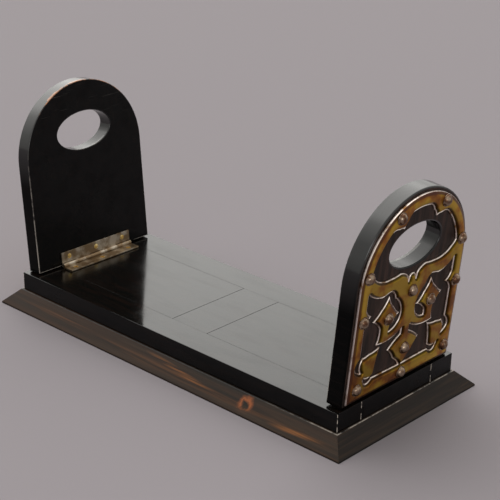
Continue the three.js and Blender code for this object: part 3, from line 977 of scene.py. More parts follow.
@dataclass
class Platform:
    """The plinth, the rails and the centre block."""

    length: float = 0.335
    depth: float = 0.130
    top: float = 0.0272
    plinth_height: float = 0.0127
    flare: float = 0.0133
    ledge: float = 0.0014
    toe: float = 0.0012
    under: float = 0.012
    # How far a moulding's blank reaches past the platform, in flares: enough for its mitres.
    mitre_over: float = 1.5
    glue: float = 0.00005
    slide_width: float = 0.079
    block_half: float = 0.0183
    slide_end_gap: float = 0.0004
    run_gap: float = 0.0003
    # Dust and wax have filled most of the gap beside the sliding boards.
    open_gap: float = 0.00015
    tongue_depth: float = 0.0024
    tongue_height: float = 0.0034
    arris: float = 0.0005
    joint_arris: float = 0.00005
    end_arris: float = 0.00035

    @property
    def inner_face(self) -> float:
        """Where a rail's inner face stands."""
        return self.slide_width / 2 + self.run_gap

    @property
    def groove_middle(self) -> float:
        """The height of the tongues and grooves."""
        return (self.plinth_height + self.top) / 2

    def build_plinth(self) -> None:
        """Makes the four mitred mouldings, two from each pattern."""
        long, wide = self.length / 2, self.depth / 2
        for run, edge, veneer, ledge, turns in (
            (long, wide, FRONT_VENEER, FRONT_LEDGE, {"front": 0, "rear": 180}),
            (wide, long, CROSS_VENEER, END_LEDGE, {"right": 90, "left": -90}),
        ):
            pattern = self.moulding(run, edge, veneer, ledge, TOE_PAINTED_SHADOW)
            for side, degrees in turns.items():
                turn = Matrix.Rotation(math.radians(degrees), 4, "Z")
                node = f"{side}_plinth"
                pattern.copy(f"{node}_moulding", turn).fit("base", Slot.PLINTH, node)
            pattern.discard()

    def moulding(self, run: float, edge: float, *finishes: Finish) -> Workpiece:
        """Shapes one moulding on the front side.

        Args:
            run: half the platform's side that it follows.
            edge: how far out the platform's face is.
            finishes: its veneer, its ledge's arris with a pale line that is partly a painted
                highlight, and its toe's painted contact shadow.

        Returns:
            The moulding.
        """
        low = (-edge - self.flare, 0.0)
        high = (-edge + self.under, self.plinth_height)
        reach = run + self.flare * self.mitre_over
        piece = Workpiece.section("moulding_pattern", -reach, low, high, *finishes)
        piece.mark(Axis.Z, self.toe)
        piece.pick(Pick.VERT, lambda v: near(v.co.y, low[0]) and near(v.co.z, high[1]))
        bpy.ops.transform.translate(value=(0, self.flare - self.ledge, 0))
        piece.draw_out(lambda face: True, (reach * 2, 0, 0))
        for side in (-1, 1):
            piece.saw((side * (run - self.glue), -edge, 0), (side, 1, 0))
        piece.tidy_flats()
        # The ledge's arris takes the pale line, partly rub and partly a painted highlight.
        ledge = edge_at(y=-edge - self.ledge, z=high[1])
        piece.round_over(self.arris, 3, ledge, finish=1)
        piece.round_over(self.arris, 2, edge_at(y=low[0], z=self.toe))
        piece.done()
        # The toe's upright face gets the painted contact shadow.
        piece.paint_faces(2, lambda f: f.normal.y < -SQUARE)
        return piece.smooth()

    def plank(
        self,
        name: str,
        ends: Place,
        low: Place,
        high: Place,
        cuts: tuple[Spot, Spot],
        waste: Callable[[float, float], bool],
    ) -> Workpiece:
        """Draws out a board from its section, less what is waste.

        Args:
            name: the board's name.
            ends: the X places of its ends.
            low: its lowest Y and Z.
            high: its highest Y and Z.
            cuts: the Y places and the Z places that part the waste from the rest.
            waste: says of a Y and a Z whether it is waste there.

        Returns:
            The board.
        """
        board = Workpiece.section(name, ends[0], low, high, POLISH, JOINT_ARRIS, DULL_POLISH)
        for axis, places in zip((Axis.Y, Axis.Z), cuts):
            for place in places:
                board.mark(axis, place)
        board.pick(Pick.FACE, lambda f: waste(*f.calc_center_median().yz))
        bpy.ops.mesh.delete(type="FACE")
        board.draw_out(lambda face: True, (ends[1] - ends[0], 0, 0))
        board.tidy_flats()
        return board

    def finish_plank(self, board: Workpiece, sides: Spot) -> Workpiece:
        """Rounds a board's arrises, and gives its upright faces the duller polish.

        Args:
            board: the board.
            sides: the Y places of its upright arrises, whose black is knocked off at its ends.

        Returns:
            The board.
        """
        ends = (-self.length / 2, self.length / 2)
        board.round_over(self.joint_arris, 1, edge_at(z=self.top))
        tests = [edge_at(x=x, y=y) for x in ends for y in sides]
        board.round_over(self.end_arris, 2, lambda e: any(test(e) for test in tests), finish=1)
        board.done()
        board.paint_faces(2, lambda f: abs(f.normal.z) < 0.5 and f.material_index == 0)
        return board

    def build_rails(self) -> None:
        """Makes the two rails, each with its tongue."""
        half, outer, inner = self.length / 2, self.depth / 2, self.inner_face
        low = (inner - self.tongue_depth, self.plinth_height + self.glue)
        tongue = [self.groove_middle + side * self.tongue_height / 2 for side in (-1, 1)]
        rail = self.plank(
            "rear_rail_board",
            (-half, half),
            low,
            (outer, self.top),
            ((inner,), tongue),
            lambda y, z: y < inner and not tongue[0] < z < tongue[1],
        )
        rail.round_over(
            self.arris,
            2,
            lambda e: edge_at(y=outer)(e) and all(c.co.z > self.groove_middle for c in e.verts),
        )
        self.finish_plank(rail, (inner, outer))
        front = rail.copy("front_rail_board", Matrix.Rotation(math.pi, 4, "Z"))
        for piece, node in ((rail, "rear_rail"), (front, "front_rail")):
            piece.smooth().fit("base", Slot.EBONISED, node)

    def grooved_board(
        self, name: str, start: float, end: float, bottom: float, gap: float
    ) -> Workpiece:
        """Shapes a board with a groove along each side.

        Args:
            name: the board's name.
            start: its low end.
            end: its high end.
            bottom: its underside.
            gap: how far it stands off the rails.

        Returns:
            The board.
        """
        half, middle = self.inner_face - gap, self.groove_middle
        floor = self.inner_face - self.tongue_depth - self.run_gap
        reach = self.tongue_height / 2 + self.run_gap
        board = self.plank(
            name,
            (start, end),
            (-half, bottom),
            (half, self.top),
            ((-floor, floor), (middle - reach, middle + reach)),
            lambda y, z: abs(y) > floor and abs(z - middle) < reach,
        )
        return self.finish_plank(board, (-half, half)).smooth()

    def build(self) -> None:
        """Makes the whole base."""
        self.build_plinth()
        self.build_rails()
        half, bottom = self.block_half, self.plinth_height + self.glue
        block = self.grooved_board("centre_block_board", -half, half, bottom, self.glue / 2)
        block.fit("base", Slot.EBONISED, "centre_block")
        base_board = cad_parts["base_board"]
        base_board.data.materials.clear()
        base_board.data.materials.append(PINE.material())


@dataclass
class Strapwork:
    """The pierced brass mount and the places of its studs.

    Shares are of half the width across, and up from the foot band to the spring line. The third
    number of a row is the height of the curve to the next row, as a share of its chord.
    """

    arch: float = 60.0
    spring: float = 88.5
    border: float = 3.0
    band: float = 9.8
    foot_band: float = 12.0
    thick: float = 2.5
    spacing: float = 0.6
    # How much nearer to the outline a point of the face may be than it should.
    slack: float = 0.03
    # How far from an edge the attributes tell the distance, for the bevels' tones and the painted
    # highlights.
    tone_reach: float = 4.0
    arch_start: int = 12
    upper_stud_angle: float = 62.0
    # The studs' places in shares: down the middle, in pairs, and in the foot band.
    middle_studs: Place = (0.799, 0.186)
    paired_studs: tuple[Place, ...] = ((0.89, 1.136), (0.895, 0.692), (0.412, 0.603))
    foot_studs: tuple[Place, ...] = ((0.0, 0.49), (0.863, 0.85))
    side_shares: tuple[Point, ...] = (
        (0.828, 0.952, -0.09), (0.535, 0.847, 0.02), (0.395, 0.871, 0.15), (0.286, 0.776, 0.1),
        (0.146, 0.639, 0.1), (0.168, 0.52, 0.12), (0.344, 0.443, 0.05), (0.335, 0.509, 0.07),
        (0.167, 0.603, 0.06), (0.295, 0.7, 0.06), (0.409, 0.83, 0.06), (0.532, 0.709, 0.05),
        (0.672, 0.623, 0.07), (0.519, 0.515, 0.08), (0.547, 0.351, -0.1), (0.077, 0.411, 0),
        (0.081, 0.349, -0.04), (0.305, 0.229, 0.06), (0.167, 0.102, 0.05), (0.028, 0, 0),
        (0.553, 0.008, 0.42), (0.725, 0.044, -0.22), (0.535, 0.061, 0.03), (0.47, 0.316, 0.05),
        (0.663, 0.29, 0.04), (0.777, 0.276, -0.2), (0.79, 0.119, 0.42), (0.828, 0.297, 0),
        (0.828, 0.605, 0.12), (0.718, 0.707, 0.12), (0.828, 0.8, 0),
    )
    hole_shares: tuple[Point, ...] = (
        (0, 0.976, -0.15), (0.056, 0.949, 0), (0.072, 0.901, 0), (0.088, 0.958, -0.08),
        (0.14, 0.996, -0.06), (0.246, 1.024, 0.03), (0.439, 1.012, 0.05), (0.6, 1.026, 0.06),
        (0.73, 1.079, 0.05),
    )
    # Degrees round the arch, a share of the band's inner radius, and the curve to the next row.
    upper_leaf: tuple[Point, ...] = (
        (50, 1, 0.1), (58, 0.915, 0.1), (64, 0.84, 0.1), (71, 0.92, 0.1), (78, 1, 0),
    )
    # Millimetres in from a piercing, and the height there: a rounded lip, then a sunk bevel.
    lip_profile: tuple[Place, ...] = (
        (0, 0.55), (0.2, 0.95), (0.45, 1.1), (0.7, 0.95), (0.9, 0.75), (1.3, 1.05), (1.9, 1.85),
        (2.3, 2.35), (2.6, 2.5),
    )
    # Millimetres in from the outside, and the height there: a wall, then a wide bevel.
    margin_profile: tuple[Place, ...] = (
        (0, 1.35), (0.25, 1.6), (1.3, 2.0), (2.5, 2.38), (3.1, 2.5)
    )

    @property
    def half(self) -> float:
        """Half the mount's width."""
        return self.arch - self.border

    @property
    def ring(self) -> float:
        """The radius of the band's inner edge."""
        return self.half - self.band

    @property
    def foot(self) -> float:
        """The height of the foot band's top."""
        return self.border + self.foot_band

    def up(self, share: float) -> float:
        """A share of the way up from the foot band to the spring line."""
        return self.foot + share * (self.spring - self.foot)

    def curve(self, rows: Sequence[Point]) -> list[Vector]:
        """Draws a run of curves through rows of place and curve height.

        Args:
            rows: Y, Z and the height of the curve to the next row.

        Returns:
            Points along the run, at the outline's spacing, without the last one.
        """
        points = []
        for (y, z, bulge), following in zip(rows, rows[1:]):
            start, end = Vector((y, z)), Vector(following[:2])
            chord = end - start
            control = (start + end) / 2 + Vector((chord.y, -chord.x)) * bulge * 2
            steps = max(1, round(chord.length / self.spacing))
            for step in range(steps):
                t = step / steps
                points.append(start * (1 - t) ** 2 + control * 2 * t * (1 - t) + end * t * t)
        return points

    def on_arch(self, degrees: float, reach: float) -> Place:
        """A place by its angle round the arch and its reach from the arch's middle."""
        angle = math.radians(degrees)
        return (reach * math.cos(angle), self.spring + reach * math.sin(angle))

    def arc(self, radius: float, start: float, end: float) -> list[Vector]:
        """Draws an arc about the arch's middle.

        Args:
            radius: its radius.
            start: its first angle, in degrees.
            end: its last angle.

        Returns:
            Its points at the outline's spacing, without the last one.
        """
        turn = end - start
        steps = max(1, round(abs(math.radians(turn)) * radius / self.spacing))
        return [Vector(self.on_arch(start + turn * i / steps, radius)) for i in range(steps)]

    def outline(self) -> list[Vector]:
        """The outside of the mount.

        Returns:
            Its points, anticlockwise from the lower left corner.
        """
        half, low, high = self.half, self.border, self.spring
        foot = self.curve([(-half, low, 0), (half, low, 0), (half, high, 0)])
        left = self.curve([(-half, high, 0), (-half, low, 0)])
        return foot + self.arc(half, 0, 180) + left

    def hole_piercing(self) -> list[Vector]:
        """The piercing round the finger hole.

        Returns:
            Its points, anticlockwise.
        """
        rows = [(y * self.half, self.up(z), bulge) for y, z, bulge in self.hole_shares]
        rows.append((*self.on_arch(self.arch_start, self.ring), 0))
        first, last = self.upper_leaf[0][0], self.upper_leaf[-1][0]
        leaf = [(*self.on_arch(at, self.ring * share), bend) for at, share, bend in self.upper_leaf]
        right = self.curve(rows) + self.arc(self.ring, self.arch_start, first)
        right += self.curve(leaf) + self.arc(self.ring, last, 90)
        top = Vector((0, self.spring + self.ring))
        return right + [top] + [Vector((-p.x, p.y)) for p in reversed(right[1:])]

    def piercings(self) -> list[list[Vector]]:
        """Draws every piercing.

        Returns:
            Each one's points, that round the finger hole first.
        """
        rows = [(y * self.half, self.up(z), bulge) for y, z, bulge in self.side_shares]
        right = self.curve([*rows, rows[0]])
        left = [Vector((-p.x, p.y)) for p in reversed(right)]
        return [self.hole_piercing(), right, left]

    def studs(self) -> list[Place]:
        """The studs' places, in the order of the solids.

        Returns:
            Millimetres across and up.
        """
        low, half = self.border, self.half
        foot, corner = [(y * half, low + self.foot_band * z) for y, z in self.foot_studs]
        pairs = [self.on_arch(self.upper_stud_angle, (half + self.ring) / 2)]
        pairs += [(y * half, self.up(z)) for y, z in self.paired_studs]
        places = [*((0.0, self.up(z)) for z in self.middle_studs), foot]
        return places + [(y * side, z) for y, z in [*pairs, corner] for side in (1, -1)]

    def relief(self, outside: Run, holes: Sequence[Run]) -> tuple[np.ndarray, ...]:
        """Works out the mount's face. Its bevels follow the distance from the piercings' edges,
        which an inset operator can't do round sharp cusps and thin stems.

        Args:
            outside: the outline.
            holes: the piercings.

        Returns:
            Points across and up, heights, and distances from the piercings and the outside.
        """
        runs = [outside, *holes]
        edges = [closed_edges(run) for run in runs]
        profiles = [self.margin_profile] + [self.lip_profile] * len(holes)
        points = [tuple(p) for run in runs for p in run]
        for run, own, profile in zip(runs, edges, profiles):
            for depth, _ in profile[1:]:
                for spot in offsets(run, depth):
                    if distance(spot[None], own)[0] > depth - self.slack:
                        points.append(tuple(spot))
        flat = np.array(points)
        from_hole = distance(flat, np.concatenate(edges[1:]))
        from_outside = distance(flat, edges[0])
        low = np.interp(from_hole, *zip(*self.lip_profile))
        margin = np.interp(from_outside, *zip(*self.margin_profile))
        return flat, np.minimum(low, margin), from_hole, from_outside

    def plate(self, name: str, back: float) -> Workpiece:
        """Makes the mount, standing on the end's outer face.

        Args:
            name: the piece's name.
            back: how far out its back is, in millimetres.

        Returns:
            The mount.
        """
        outside, holes = self.outline(), self.piercings()
        flat, height, from_hole, from_outside = self.relief(outside, holes)
        borders = []
        for run in [outside, *holes]:
            first, size = len(borders), len(run)
            borders += [(first + i, first + (i + 1) % size) for i in range(size)]
        drawn = delaunay_2d_cdt([Vector(p) for p in flat], borders, [], 0, 1e-5)
        spots = np.array([tuple(p) for p in drawn[0]])
        source = [ids[0] if ids else 0 for ids in drawn[3]]
        corners = np.array(drawn[2])
        middles = spots[corners].mean(axis=1)
        keep = inside(middles, outside)
        for hole in holes:
            keep &= ~inside(middles, hole)
        faces = corners[keep].tolist()
        front = [(back + height[s], y, z) for s, (y, z) in zip(source, spots)]
        rear = [(back, y, z) for y, z in spots]
        count = len(spots)
        # Each pair once, in the order of the faces: a wall stands where only one face has it.
        used = dict.fromkeys(pair for face in faces for pair in zip(face, face[1:] + face[:1]))
        walls = [(b, a, a + count, b + count) for a, b in used if (b, a) not in used]
        mesh = bpy.data.meshes.new(name)
        faces += [[i + count for i in face[::-1]] for face in faces]
        mesh.from_pydata([Vector(p) * MM for p in front + rear], [], faces + walls)
        for label, values in (("from_piercing", from_hole), ("from_margin", from_outside)):
            layer = mesh.attributes.new(label, "FLOAT", "POINT")
            shares = [min(values[s] / self.tone_reach, 1.0) for s in source] * 2
            layer.data.foreach_set("value", np.array(shares, np.float32))
        clear_bench(add_object(name, mesh))
        return Workpiece(name, MOUNT_BRASS).done().smooth(55)


def closed_edges(run: Run) -> np.ndarray:
    """The edges of a closed outline, as rows of start and end."""
    points = np.array([tuple(p) for p in run])
    return np.stack([points, np.roll(points, -1, axis=0)], axis=1)


def distance(points: np.ndarray, edges: np.ndarray) -> np.ndarray:
    """How far each point is from the nearest edge.

    Args:
        points: places across and up.
        edges: rows of start and end.

    Returns:
        One distance for each point.
    """
    start, run = edges[:, 0], edges[:, 1] - edges[:, 0]
    square = (run * run).sum(axis=1)
    away = []
    for chunk in np.array_split(points, max(1, len(points) // 500)):
        reach = chunk[:, None] - start[None]
        share = np.clip((reach * run).sum(axis=2) / square, 0, 1)
        gap = reach - share[..., None] * run
        away.append(np.sqrt((gap * gap).sum(axis=2)).min(axis=1))
    return np.concatenate(away)


def inside(points: np.ndarray, run: Run) -> np.ndarray:
    """Which points lie within a closed outline.

    Args:
        points: places across and up.
        run: the outline.

    Returns:
        True or False for each point.
    """
    edges = closed_edges(run)
    (ay, az), (by, bz) = edges[:, 0].T, edges[:, 1].T
    y, z = points[:, 0, None], points[:, 1, None]
    crosses = (az > z) != (bz > z)
    with np.errstate(divide="ignore", invalid="ignore"):
        past = y < ay + (z - az) * (by - ay) / (bz - az)
    return (crosses & past).sum(axis=1) % 2 == 1


def offsets(run: Run, depth: float) -> Iterable[np.ndarray]:
    """Points at one distance from an outline, on both sides of it and round its corners.

    Args:
        run: the outline.
        depth: the distance.

    Yields:
        Each point.
    """
    for before, here, after in zip([run[-1], *run[:-1]], run, [*run[1:], run[0]]):
        ways = [(here - before).normalized(), (after - here).normalized()]
        for side in (-1, 1):
            normals = [Vector((-way.y, way.x)) * side for way in ways]
            turn = normals[0].angle(normals[1], 0)
            parts = 1 + int(turn / CORNER_STEP)
            for step in range(parts):
                normal = normals[0].lerp(normals[1], (step + 0.5) / parts)
                if normal.length > 1e-6:
                    yield np.array(here + normal.normalized() * depth)


@dataclass
class Stud:
    """A round-headed stud, drawn along +X with its flange on X = 0."""

    flange: float = 0.0046
    flange_thick: float = 0.0005
    dome: float = 0.0039
    dome_height: float = 0.00285
    pin: float = 0.0009
    pin_length: float = 0.0079
    arris: float = 0.00015
    sides: int = 40
    steps: int = 7

    def build(self) -> Workpiece:
        """Makes the pattern stud.

        Returns:
            The stud.
        """
        low, high = (0, 0, 0), (self.flange_thick, 0, 0)
        piece = Workpiece.rod("stud_pattern", self.flange, low, high, STUD_BRASS, sides=self.sides)
        piece.pick(Pick.FACE, lambda f: f.normal.x > SQUARE)
        bpy.ops.mesh.inset(thickness=self.flange - self.dome)
        radius, height = self.dome, 0.0
        for step in range(1, self.steps):
            angle = math.pi / 2 * step / self.steps
            next_radius = self.dome * math.cos(angle)
            next_height = self.dome_height * math.sin(angle)
            piece.push((next_height - height, 0, 0))
            ratio = next_radius / radius
            bpy.ops.transform.resize(value=(1, ratio, ratio))
            radius, height = next_radius, next_height
        piece.push((self.dome_height - height, 0, 0))
        bpy.ops.mesh.merge(type="CENTER")
        piece.pick(Pick.FACE, lambda f: f.normal.x < -SQUARE)
        bpy.ops.mesh.inset(thickness=self.flange - self.pin)
        piece.push((-self.pin_length, 0, 0))
        piece.round_over(self.arris, 2, edge_at(x=self.flange_thick))
        return piece.done().smooth(50)


@dataclass
class Hinge:
    """A brass butt hinge, drawn upright about the Y axis with its leaf up +Z."""

    width: float = 0.074
    reach: float = 0.0108
    back: float = 0.0019
    leaf_thick: float = 0.0012
    barrel: float = 0.0019
    knuckles: int = 5
    knuckle_gap: float = 0.0002
    pin: float = 0.0009
    screw_places: tuple[float, ...] = (-0.029, 0.0, 0.029)
    screw_height: float = 0.0065
    head: float = 0.0021
    head_depth: float = 0.001
    shank: float = 0.0009
    screw_length: float = 0.007
    slot_width: float = 0.0006
    slot_depth: float = 0.00045
    screw_gap: float = 0.0001
    bore_gap: float = 0.00015
    bore_sides: int = 24
    # How far the cutters reach past what they cut, as shares of its size.
    seat_over: float = 1.02
    bore_over: float = 1.1
    slot_over: float = 2.0
    leaf_arris: float = 0.00018
    barrel_arris: float = 0.00015
    pin_arris: float = 0.00025
    # The rings of the screw's domed head: how far each is set in, and how far it rises.
    dome: tuple[Place, ...] = ((0.0005, 0.00014), (0.0006, 0.0001), (0.0005, 0.00004))

    @property
    def front(self) -> float:
        """Where the leaf's open face stands."""
        return self.back - self.leaf_thick

    def leaf(self, first: int) -> Workpiece:
        """Makes a leaf with every other knuckle.

        Args:
            first: 0 for the leaf with the end knuckles, 1 for the other.

        Returns:
            The leaf.
        """
        half = self.width / 2
        pitch = self.width / self.knuckles
        clear = self.barrel + self.knuckle_gap
        low, high = (self.front, -half, clear), (self.back, half, self.reach)
        plate = Workpiece.block("leaf_pattern", low, high, HINGE_BRASS)
        outer = self.reach / 2
        plate.round_over(self.leaf_arris, 2, lambda e: all(c.co.z > outer for c in e.verts))
        for knuckle in range(first, self.knuckles, 2):
            low = -half + knuckle * pitch + self.knuckle_gap / 2
            high = low + pitch - self.knuckle_gap
            corner = (self.back, high, clear + self.leaf_thick)
            plate.combine(Workpiece.block("web", (self.front, low, 0), corner), "UNION")
            barrel = Workpiece.rod("barrel", self.barrel, (0, low, 0), (0, high, 0))
            barrel.round_over(self.barrel_arris, 2, round_the_bar)
            plate.combine(barrel, "UNION")
        for y in self.screw_places:
            plate.cut_away(self.countersink(y))
        low, high = (0, -half * self.bore_over, 0), (0, half * self.bore_over, 0)
        bore = Workpiece.rod("bore", self.pin + self.bore_gap, low, high, sides=self.bore_sides)
        plate.cut_away(bore)
        return plate.done().smooth()

    def pin_rod(self) -> Workpiece:
        """Makes the hinge's pin.

        Returns:
            The pin.
        """
        half = self.width / 2
        pin = Workpiece.rod("pin_pattern", self.pin, (0, -half, 0), (0, half, 0), HINGE_BRASS)
        pin.round_over(self.pin_arris, 2, round_the_bar)
        return pin.done().smooth()

    def countersink(self, y: float) -> Workpiece:
        """Makes the cutter for a screw's seat, a little past the leaf's face.

        Args:
            y: where the screw is.

        Returns:
            The cutter.
        """
        clear_bench()
        bpy.ops.mesh.primitive_cone_add(
            vertices=32,
            radius1=self.head * self.seat_over + self.screw_gap,
            radius2=self.shank + self.screw_gap,
            depth=self.head_depth * self.seat_over,
            location=(self.front + self.head_depth / 2, y, self.screw_height),
            rotation=(0, math.pi / 2, 0),
        )
        return Workpiece("seat")

    def screw(self) -> Workpiece:
        """Makes the pattern screw, along +X from X = 0.

        Returns:
            The screw.
        """
        low, high = (0, 0, 0), (self.screw_length, 0, 0)
        piece = Workpiece.rod("screw_pattern", self.head, low, high, SCREW_BRASS)
        piece.mark(Axis.X, self.head_depth)
        ratio = self.shank / self.head
        piece.pick(Pick.VERT, lambda v: v.co.x > self.head_depth * 0.9)
        bpy.ops.transform.resize(value=(1, ratio, ratio))
        piece.pick(Pick.FACE, lambda f: f.normal.x < -SQUARE)
        for thickness, rise in self.dome:
            bpy.ops.mesh.inset(thickness=thickness)
            bpy.ops.transform.translate(value=(-rise, 0, 0))
        reach, side = self.head * self.slot_over, self.slot_width / 2
        low, high = (-self.head_depth, -reach, -side), (self.slot_depth, reach, side)
        piece.cut_away(Workpiece.block("slot", low, high))
        return piece.done().smooth()


@dataclass
class EndBoard:
    """The round-topped folding end, drawn upright with its foot on Z = 0."""

    width: float = 0.120
    height: float = 0.1485
    inner: float = 0.0022
    outer: float = 0.0152
    hole_width: float = 0.056
    hole_height: float = 0.031
    hole_drop: float = 0.041
    overrun: float = 0.005
    arris: float = 0.0006
    outer_arris: float = 0.0012
    # How far the rub on the inner arris reaches over the arch's top, and how level it is there.
    top_rub: float = 0.0024
    top_level: float = 0.84
    arch_sides: int = 192
    hole_sides: int = 128

    def build(self) -> Workpiece:
        """Makes the pattern end.

        Returns:
            The end.
        """
        radius = self.width / 2
        spring = self.height - radius
        low, high = (self.inner, 0, spring), (self.outer, 0, spring)
        finishes = (EDGE_POLISH, END_ARRIS, UPRIGHT_VENEER, DULL_POLISH)
        board = Workpiece.rod("end_pattern", radius, low, high, *finishes, sides=self.arch_sides)
        board.saw((0, 0, spring), (0, 0, -1))
        board.draw_out(lambda f: f.normal.z < -SQUARE, (0, 0, -spring))
        board.tidy_flats()
        board.cut_away(self.hole())
        # The inner arris takes the pale line: partly rub, partly a painted highlight.
        board.round_over(self.arris, 3, edge_at(x=self.inner), finish=1)
        board.round_over(self.outer_arris, 4, edge_at(x=self.outer))
        board.round_over(self.arris, 2, edge_at(z=0))
        rub = self.inner + self.top_rub
        board.mark(Axis.X, rub)
        board.done()
        board.paint_faces(2, lambda f: f.normal.x > SQUARE)
        board.paint_faces(3, lambda f: f.normal.x < -SQUARE)
        board.paint_faces(
            1, lambda f: f.normal.z > self.top_level and f.center.z > spring and f.center.x < rub
        )
        return board.smooth()

    def hole(self) -> Workpiece:
        """Makes the cutter for the finger hole.

        Returns:
            The cutter.
        """
        low, high = (self.inner - self.overrun, 0, 0), (self.outer + self.overrun, 0, 0)
        cutter = Workpiece.rod("hole", 1, low, high, sides=self.hole_sides)
        cutter.pick(Pick.FACE)
        half = (1, self.hole_width / 2, self.hole_height / 2)
        bpy.ops.transform.resize(value=half, center_override=(0, 0, 0))
        bpy.ops.transform.translate(value=(0, 0, self.height - self.hole_drop))
        return cutter


@dataclass
class Joinery:
    """How the pieces of one side stand to each other, drawn as the right side."""

    platform: Platform = field(default_factory=Platform)
    end: EndBoard = field(default_factory=EndBoard)
    strapwork: Strapwork = field(default_factory=Strapwork)
    hinge: Hinge = field(default_factory=Hinge)
    stud: Stud = field(default_factory=Stud)
    lean: float = math.radians(5.5)
    foot_gap: float = 0.0003
    inset: float = 0.002
    seat_gap: float = 0.0003
    stud_gap: float = 0.0001
    screw_sunk: float = 0.00005
    peg_radius: float = 0.0025
    peg_from_end: float = 0.012
    peg_low: float = 0.0053
    peg_high: float = 0.019
    peg_arris: float = 0.0005
    # Turns in radians, before the first stud or screw slot and from each to the next.
    stud_turns: Place = (0.0, 2.4)
    slot_turns: Place = (0.5, 1.3)

    @property
    def slide_start(self) -> float:
        """Where the sliding board's inner end is."""
        return self.platform.block_half + self.platform.slide_end_gap

    @property
    def foot_drop(self) -> float:
        """How far the end's foot is below the hinge's axis along the end, when it leans."""
        rise = self.end.inner - self.foot_gap - self.end.outer * math.sin(self.lean)
        return rise / math.cos(self.lean)

    @property
    def axis(self) -> Matrix:
        """Works out where the hinge's axis is.

        Returns:
            Its place.
        """
        reach = self.end.outer * math.cos(self.lean) - self.foot_drop * math.sin(self.lean)
        across = self.platform.length / 2 - self.inset - reach
        return Matrix.Translation((across, 0, self.platform.top + self.end.inner))

    @property
    def leaning(self) -> Matrix:
        """The place of what is drawn on the end, with the hinge's axis at the origin."""
        return self.axis @ Matrix.Rotation(self.lean, 4, "Y")

    @property
    def standing(self) -> Matrix:
        """The place of what is drawn on the end, with the end's foot at the origin."""
        return self.leaning @ Matrix.Translation((0, 0, -self.foot_drop))

    @property
    def lying(self) -> Matrix:
        """The place of what is drawn on the end but lies on the sliding board."""
        down = Matrix(((0, 0, -1, 0), (0, -1, 0, 0), (-1, 0, 0, 0), (0, 0, 0, 1)))
        return self.axis @ down

    def slide(self) -> Workpiece:
        """Makes the pattern sliding board.

        Returns:
            The board.
        """
        base = self.platform
        bottom, end = base.plinth_height + base.run_gap, base.length / 2
        return base.grooved_board("slide_pattern", self.slide_start, end, bottom, base.open_gap)

    def peg(self) -> Workpiece:
        """Makes the pattern stop peg.

        Returns:
            The peg.
        """
        place = self.slide_start + self.peg_from_end
        low, high = (place, 0, self.peg_low), (place, 0, self.peg_high)
        peg = Workpiece.rod("peg_pattern", self.peg_radius, low, high, BEECH)
        peg.round_over(self.peg_arris, 2, edge_at(z=self.peg_low))
        return peg.done().smooth()

    def pieces(self) -> Iterable[Piece]:
        """Makes each pattern and says where its copies go.

        Yields:
            Each pattern with its copies.
        """
        still = Matrix.Identity(4)
        yield Piece(self.slide(), Slot.EBONISED, "board", {"slide": still})
        yield Piece(self.peg(), Slot.PEG, "board", {"stop_peg": still})
        yield Piece(self.end.build(), Slot.EBONISED, "folding_end", {"end": self.standing})
        back = (self.end.outer + self.seat_gap) / MM
        plate = self.strapwork.plate("mount_pattern", back)
        yield Piece(plate, Slot.MOUNT, "folding_end", {"mount": self.standing})
        out = self.end.outer + self.seat_gap + self.strapwork.thick * MM + self.stud_gap
        spots = [(y * MM, z * MM) for y, z in self.strapwork.studs()]
        places = self.spread("stud_{:02d}", self.standing, out, spots, self.stud_turns)
        yield Piece(self.stud.build(), Slot.STUD, "folding_end", places)
        on_board, on_end = ("slide", "board", self.lying), ("end", "folding_end", self.leaning)
        for first, (kind, body, place) in enumerate((on_board, on_end)):
            yield Piece(self.hinge.leaf(first), Slot.HINGE, body, {f"{kind}_leaf": place})
        yield Piece(self.hinge.pin_rod(), Slot.HINGE, "board", {"hinge_pin": self.leaning})
        out = self.hinge.front + self.screw_sunk
        spots = [(y, self.hinge.screw_height) for y in self.hinge.screw_places]
        for kind, body, place in (on_end, on_board):
            places = self.spread(kind + "_screw_{}", place, out, spots, self.slot_turns)
            yield Piece(self.hinge.screw(), Slot.STUD, body, places)

    def spread(
        self, name: str, place: Matrix, out: float, spots: Sequence[Place], turns: Place
    ) -> dict[str, Matrix]:
        """Finds the places of a pattern's copies on an outer face, each turned another way.

        Args:
            name: the copies' name, with a gap for the number.
            place: the place of what carries them.
            out: how far out the face is.
            spots: how far across and up each copy is.
            turns: the turn before the first copy, and from each to the next.

        Returns:
            The places by name.
        """
        places = {}
        for index, spot in enumerate(spots, start=1):
            turn = Matrix.Rotation(turns[0] + index * turns[1], 4, "X")
            places[name.format(index)] = place @ (Matrix.Translation((out, *spot)) @ turn)
        return places

    def build(self) -> None:
        """Makes both sides, the left one turned half round."""
        for piece in self.pieces():
            for side, turn in (("right", 0.0), ("left", math.pi)):
                piece.place_copies(side, Matrix.Rotation(turn, 4, "Z"))
            piece.pattern.discard()


@dataclass
class Piece:
    """A pattern, and the places of its copies on one side."""

    pattern: Workpiece
    slot: Slot
    body: str
    places: dict[str, Matrix]

    def place_copies(self, side: str, turn: Matrix) -> None:
        """Puts the copies on one side.

        Args:
            side: the side's name.
            turn: the turn from the right side to this one.
        """
        for node, place in self.places.items():
            twin = self.pattern.copy(f"{side}_{node}_finished", turn @ place)
            twin.fit(f"{side}_{self.body}", self.slot, f"{side}_{node}")


